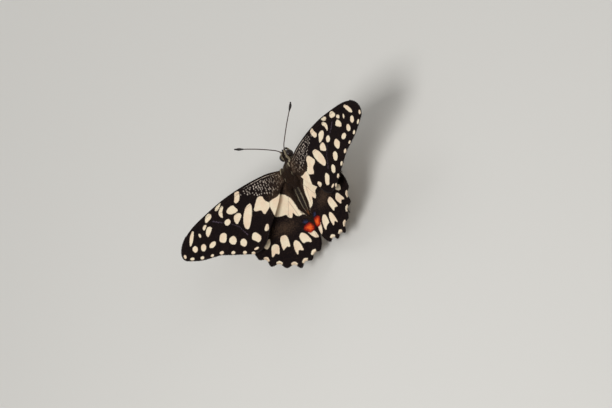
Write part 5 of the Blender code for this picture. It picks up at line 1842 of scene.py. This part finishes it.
def fringe(name, slot, wing, arch, rim, veins, spots, start, side, reach):
    """Two staggered rows of narrow scales along the outer part of a rim."""
    length = lengths_along(rim)
    places = np.arange(start[0], start[1], FRINGE_STEP)
    edge = np.stack([np.interp(places, length, rim[:, k]) for k in (0, 1)], 1)
    run = np.gradient(edge, axis=0)
    run /= np.linalg.norm(run, axis=1)[:, None]
    outward = np.stack([run[:, 1], -run[:, 0]], 1)
    edge = edge - outward * FRINGE_SINK
    tilt = rng.normal(0, 0.16, len(edge))
    outward = outward * np.cos(tilt)[:, None] + run * np.sin(tilt)[:, None]
    near = np.full(len(edge), 9.0)
    for line in veins:
        near = np.minimum(near, distance_to_line(edge, line))
    pale = np.clip((depth_in(edge, spots, 2.0) + 0.15) / 0.3, 0, 1)

    def on_wing(spots, drop):
        return sheet_to_world(wing, side, *spots.T, arch(*spots.T) + drop)

    rows = []
    for shift, drop in ((0.0, 0.03), (0.035, -0.03)):
        at = edge + run * shift
        low, high, beside = (on_wing(spots, drop)
                             for spots in (at, at + outward * PROBE, at + run * PROBE))
        rows.append((low, high - low, beside - low))
    at, aims, sides = (np.vstack([row[k] for row in rows]) for k in range(3))
    sizes = np.tile([0.11, 0.11, reach], (len(at), 1))
    piece = repeat(name, SCALE_FORM, at, aims, sides, sizes, FRINGE_FINISH, 0.25,
                   {"pale": np.tile(pale, 2), "tone": rng.random(len(at))})
    return hand_over(piece, slot)


def rim_length_at(rim, point):
    """How far along a rim the point of it lies that is nearest to a place."""
    return lengths_along(rim)[np.argmin(np.linalg.norm(rim - np.array(point), axis=1))]


fore_span = (rim_length_at(FORE_RIM_LINE, (42.4, -0.4)), rim_length_at(FORE_RIM_LINE, (12.9, 14.2)))
hind_span = (rim_length_at(HIND_RIM_LINE, (21.6, 12.6)), rim_length_at(HIND_RIM_LINE, (0.5, 14.6)))
for side, end in SIDES:
    fringe("forewing_fringe_" + end, "forewing", FORE, fore_arch, FORE_RIM_LINE, fore_lines, FORE_SPOTS,
           fore_span, side, 0.34)
    fringe("hindwing_fringe_" + end, "hindwing", HIND, hind_arch, HIND_RIM_LINE, hind_lines, HIND_SPOTS,
           hind_span, side, 0.38)

# %% [markdown]
# The three unit forms have done their work. They are no part of the butterfly, so they go.

# %% Put the unit forms away
for form in (RING_FORM, SPINE_FORM, SCALE_FORM):
    bpy.data.objects.remove(form)

# %% [markdown]
# ## Stage, light and camera
#
# The butterfly stands on a plain pale floor under soft studio light. The camera looks from the
# right, from behind and from above, rolled so that the body runs up the picture as it does in the
# photograph. A long lens keeps the near wing and the far one to the same scale. SCALE is how many
# points of the picture go to a millimetre at the butterfly.

# %% Floor
floor = make_mesh("floor", [(-2500, -2500, 0), (2500, -2500, 0), (2500, 2500, 0), (-2500, 2500, 0)],
                  [[0, 1, 2, 3]], smooth=False)
floor_finish, recipe, shader = new_finish("floor paper", 0.75, Specular_IOR_Level=0.25)
shader.inputs["Base Color"].default_value = (0.66, 0.65, 0.62, 1.0)
floor.data.materials.append(floor_finish)
print("floor laid")

# %% [markdown]
# The camera's right and up directions come from matching the spots of both wings to the
# photograph. They are made square to one another here, and turned with the body.

# %% Camera
FOCAL, SENSOR, SCALE = 300.0, 36.0, 3.04
PICTURE, BODY_IN_PICTURE = (612.0, 408.0), (290.0, 175.5)
RIGHT = np.array([-0.656, 0.307, -0.690])
UP = np.array([-0.540, -0.829, 0.146])
RIGHT, UP = RIGHT / np.linalg.norm(RIGHT), UP - RIGHT * (UP @ RIGHT) / (RIGHT @ RIGHT)
UP = UP / np.linalg.norm(UP)
TOWARDS = np.cross(RIGHT, UP)
aim = (RIGHT * (PICTURE[0] / 2 - BODY_IN_PICTURE[0]) / SCALE
       - UP * (PICTURE[1] / 2 - BODY_IN_PICTURE[1]) / SCALE)
distance = PICTURE[0] / SCALE * FOCAL / SENSOR
lens = bpy.data.cameras.new("camera")
lens.lens, lens.sensor_width = FOCAL, SENSOR
lens.clip_start, lens.clip_end = 0.01, 20.0
camera = bpy.data.objects.new("camera", lens)
bpy.context.scene.collection.objects.link(camera)
axes = BODY_TURN @ np.stack([RIGHT, UP, TOWARDS], axis=1)
turn = Matrix([list(row) for row in axes]).to_4x4()
place = body_to_world(aim + TOWARDS * distance) * MM
camera.matrix_world = Matrix.Translation(place) @ turn
bpy.context.scene.camera = camera
print("camera stands", np.round(place, 3), "m from the butterfly's place")

# %% [markdown]
# Three square lamps and a faint warm world light the model softly. The key lamp stands high
# behind the tail, the fill on the butterfly's right and the third in front.

# %% Light


def soft_lamp(name, azimuth, elevation, power, size, away=0.6):
    """A square lamp that faces the butterfly from a direction over the floor."""
    lamp = bpy.data.lights.new(name, "AREA")
    lamp.energy, lamp.size = power, size
    holder = bpy.data.objects.new(name, lamp)
    bpy.context.scene.collection.objects.link(holder)
    a, e = radians(azimuth), radians(elevation)
    spot = Vector((sin(a) * cos(e), -cos(a) * cos(e), sin(e))) * away
    holder.location = spot + Vector((0, 0, 0.012))
    holder.rotation_euler = spot.to_track_quat("Z", "Y").to_euler()
    print(name, "lamp:", power, "W")


soft_lamp("key", 165, 58, 2.3, 0.30)
soft_lamp("fill", 265, 40, 0.55, 0.5)
soft_lamp("rim", 20, 35, 0.6, 0.3)
world = bpy.data.worlds.new("studio")
world.use_nodes = True
world.node_tree.nodes["Background"].inputs["Color"].default_value = (1.0, 0.985, 0.96, 1.0)
world.node_tree.nodes["Background"].inputs["Strength"].default_value = 0.30
bpy.context.scene.world = world
bpy.context.scene.view_settings.view_transform = "Standard"
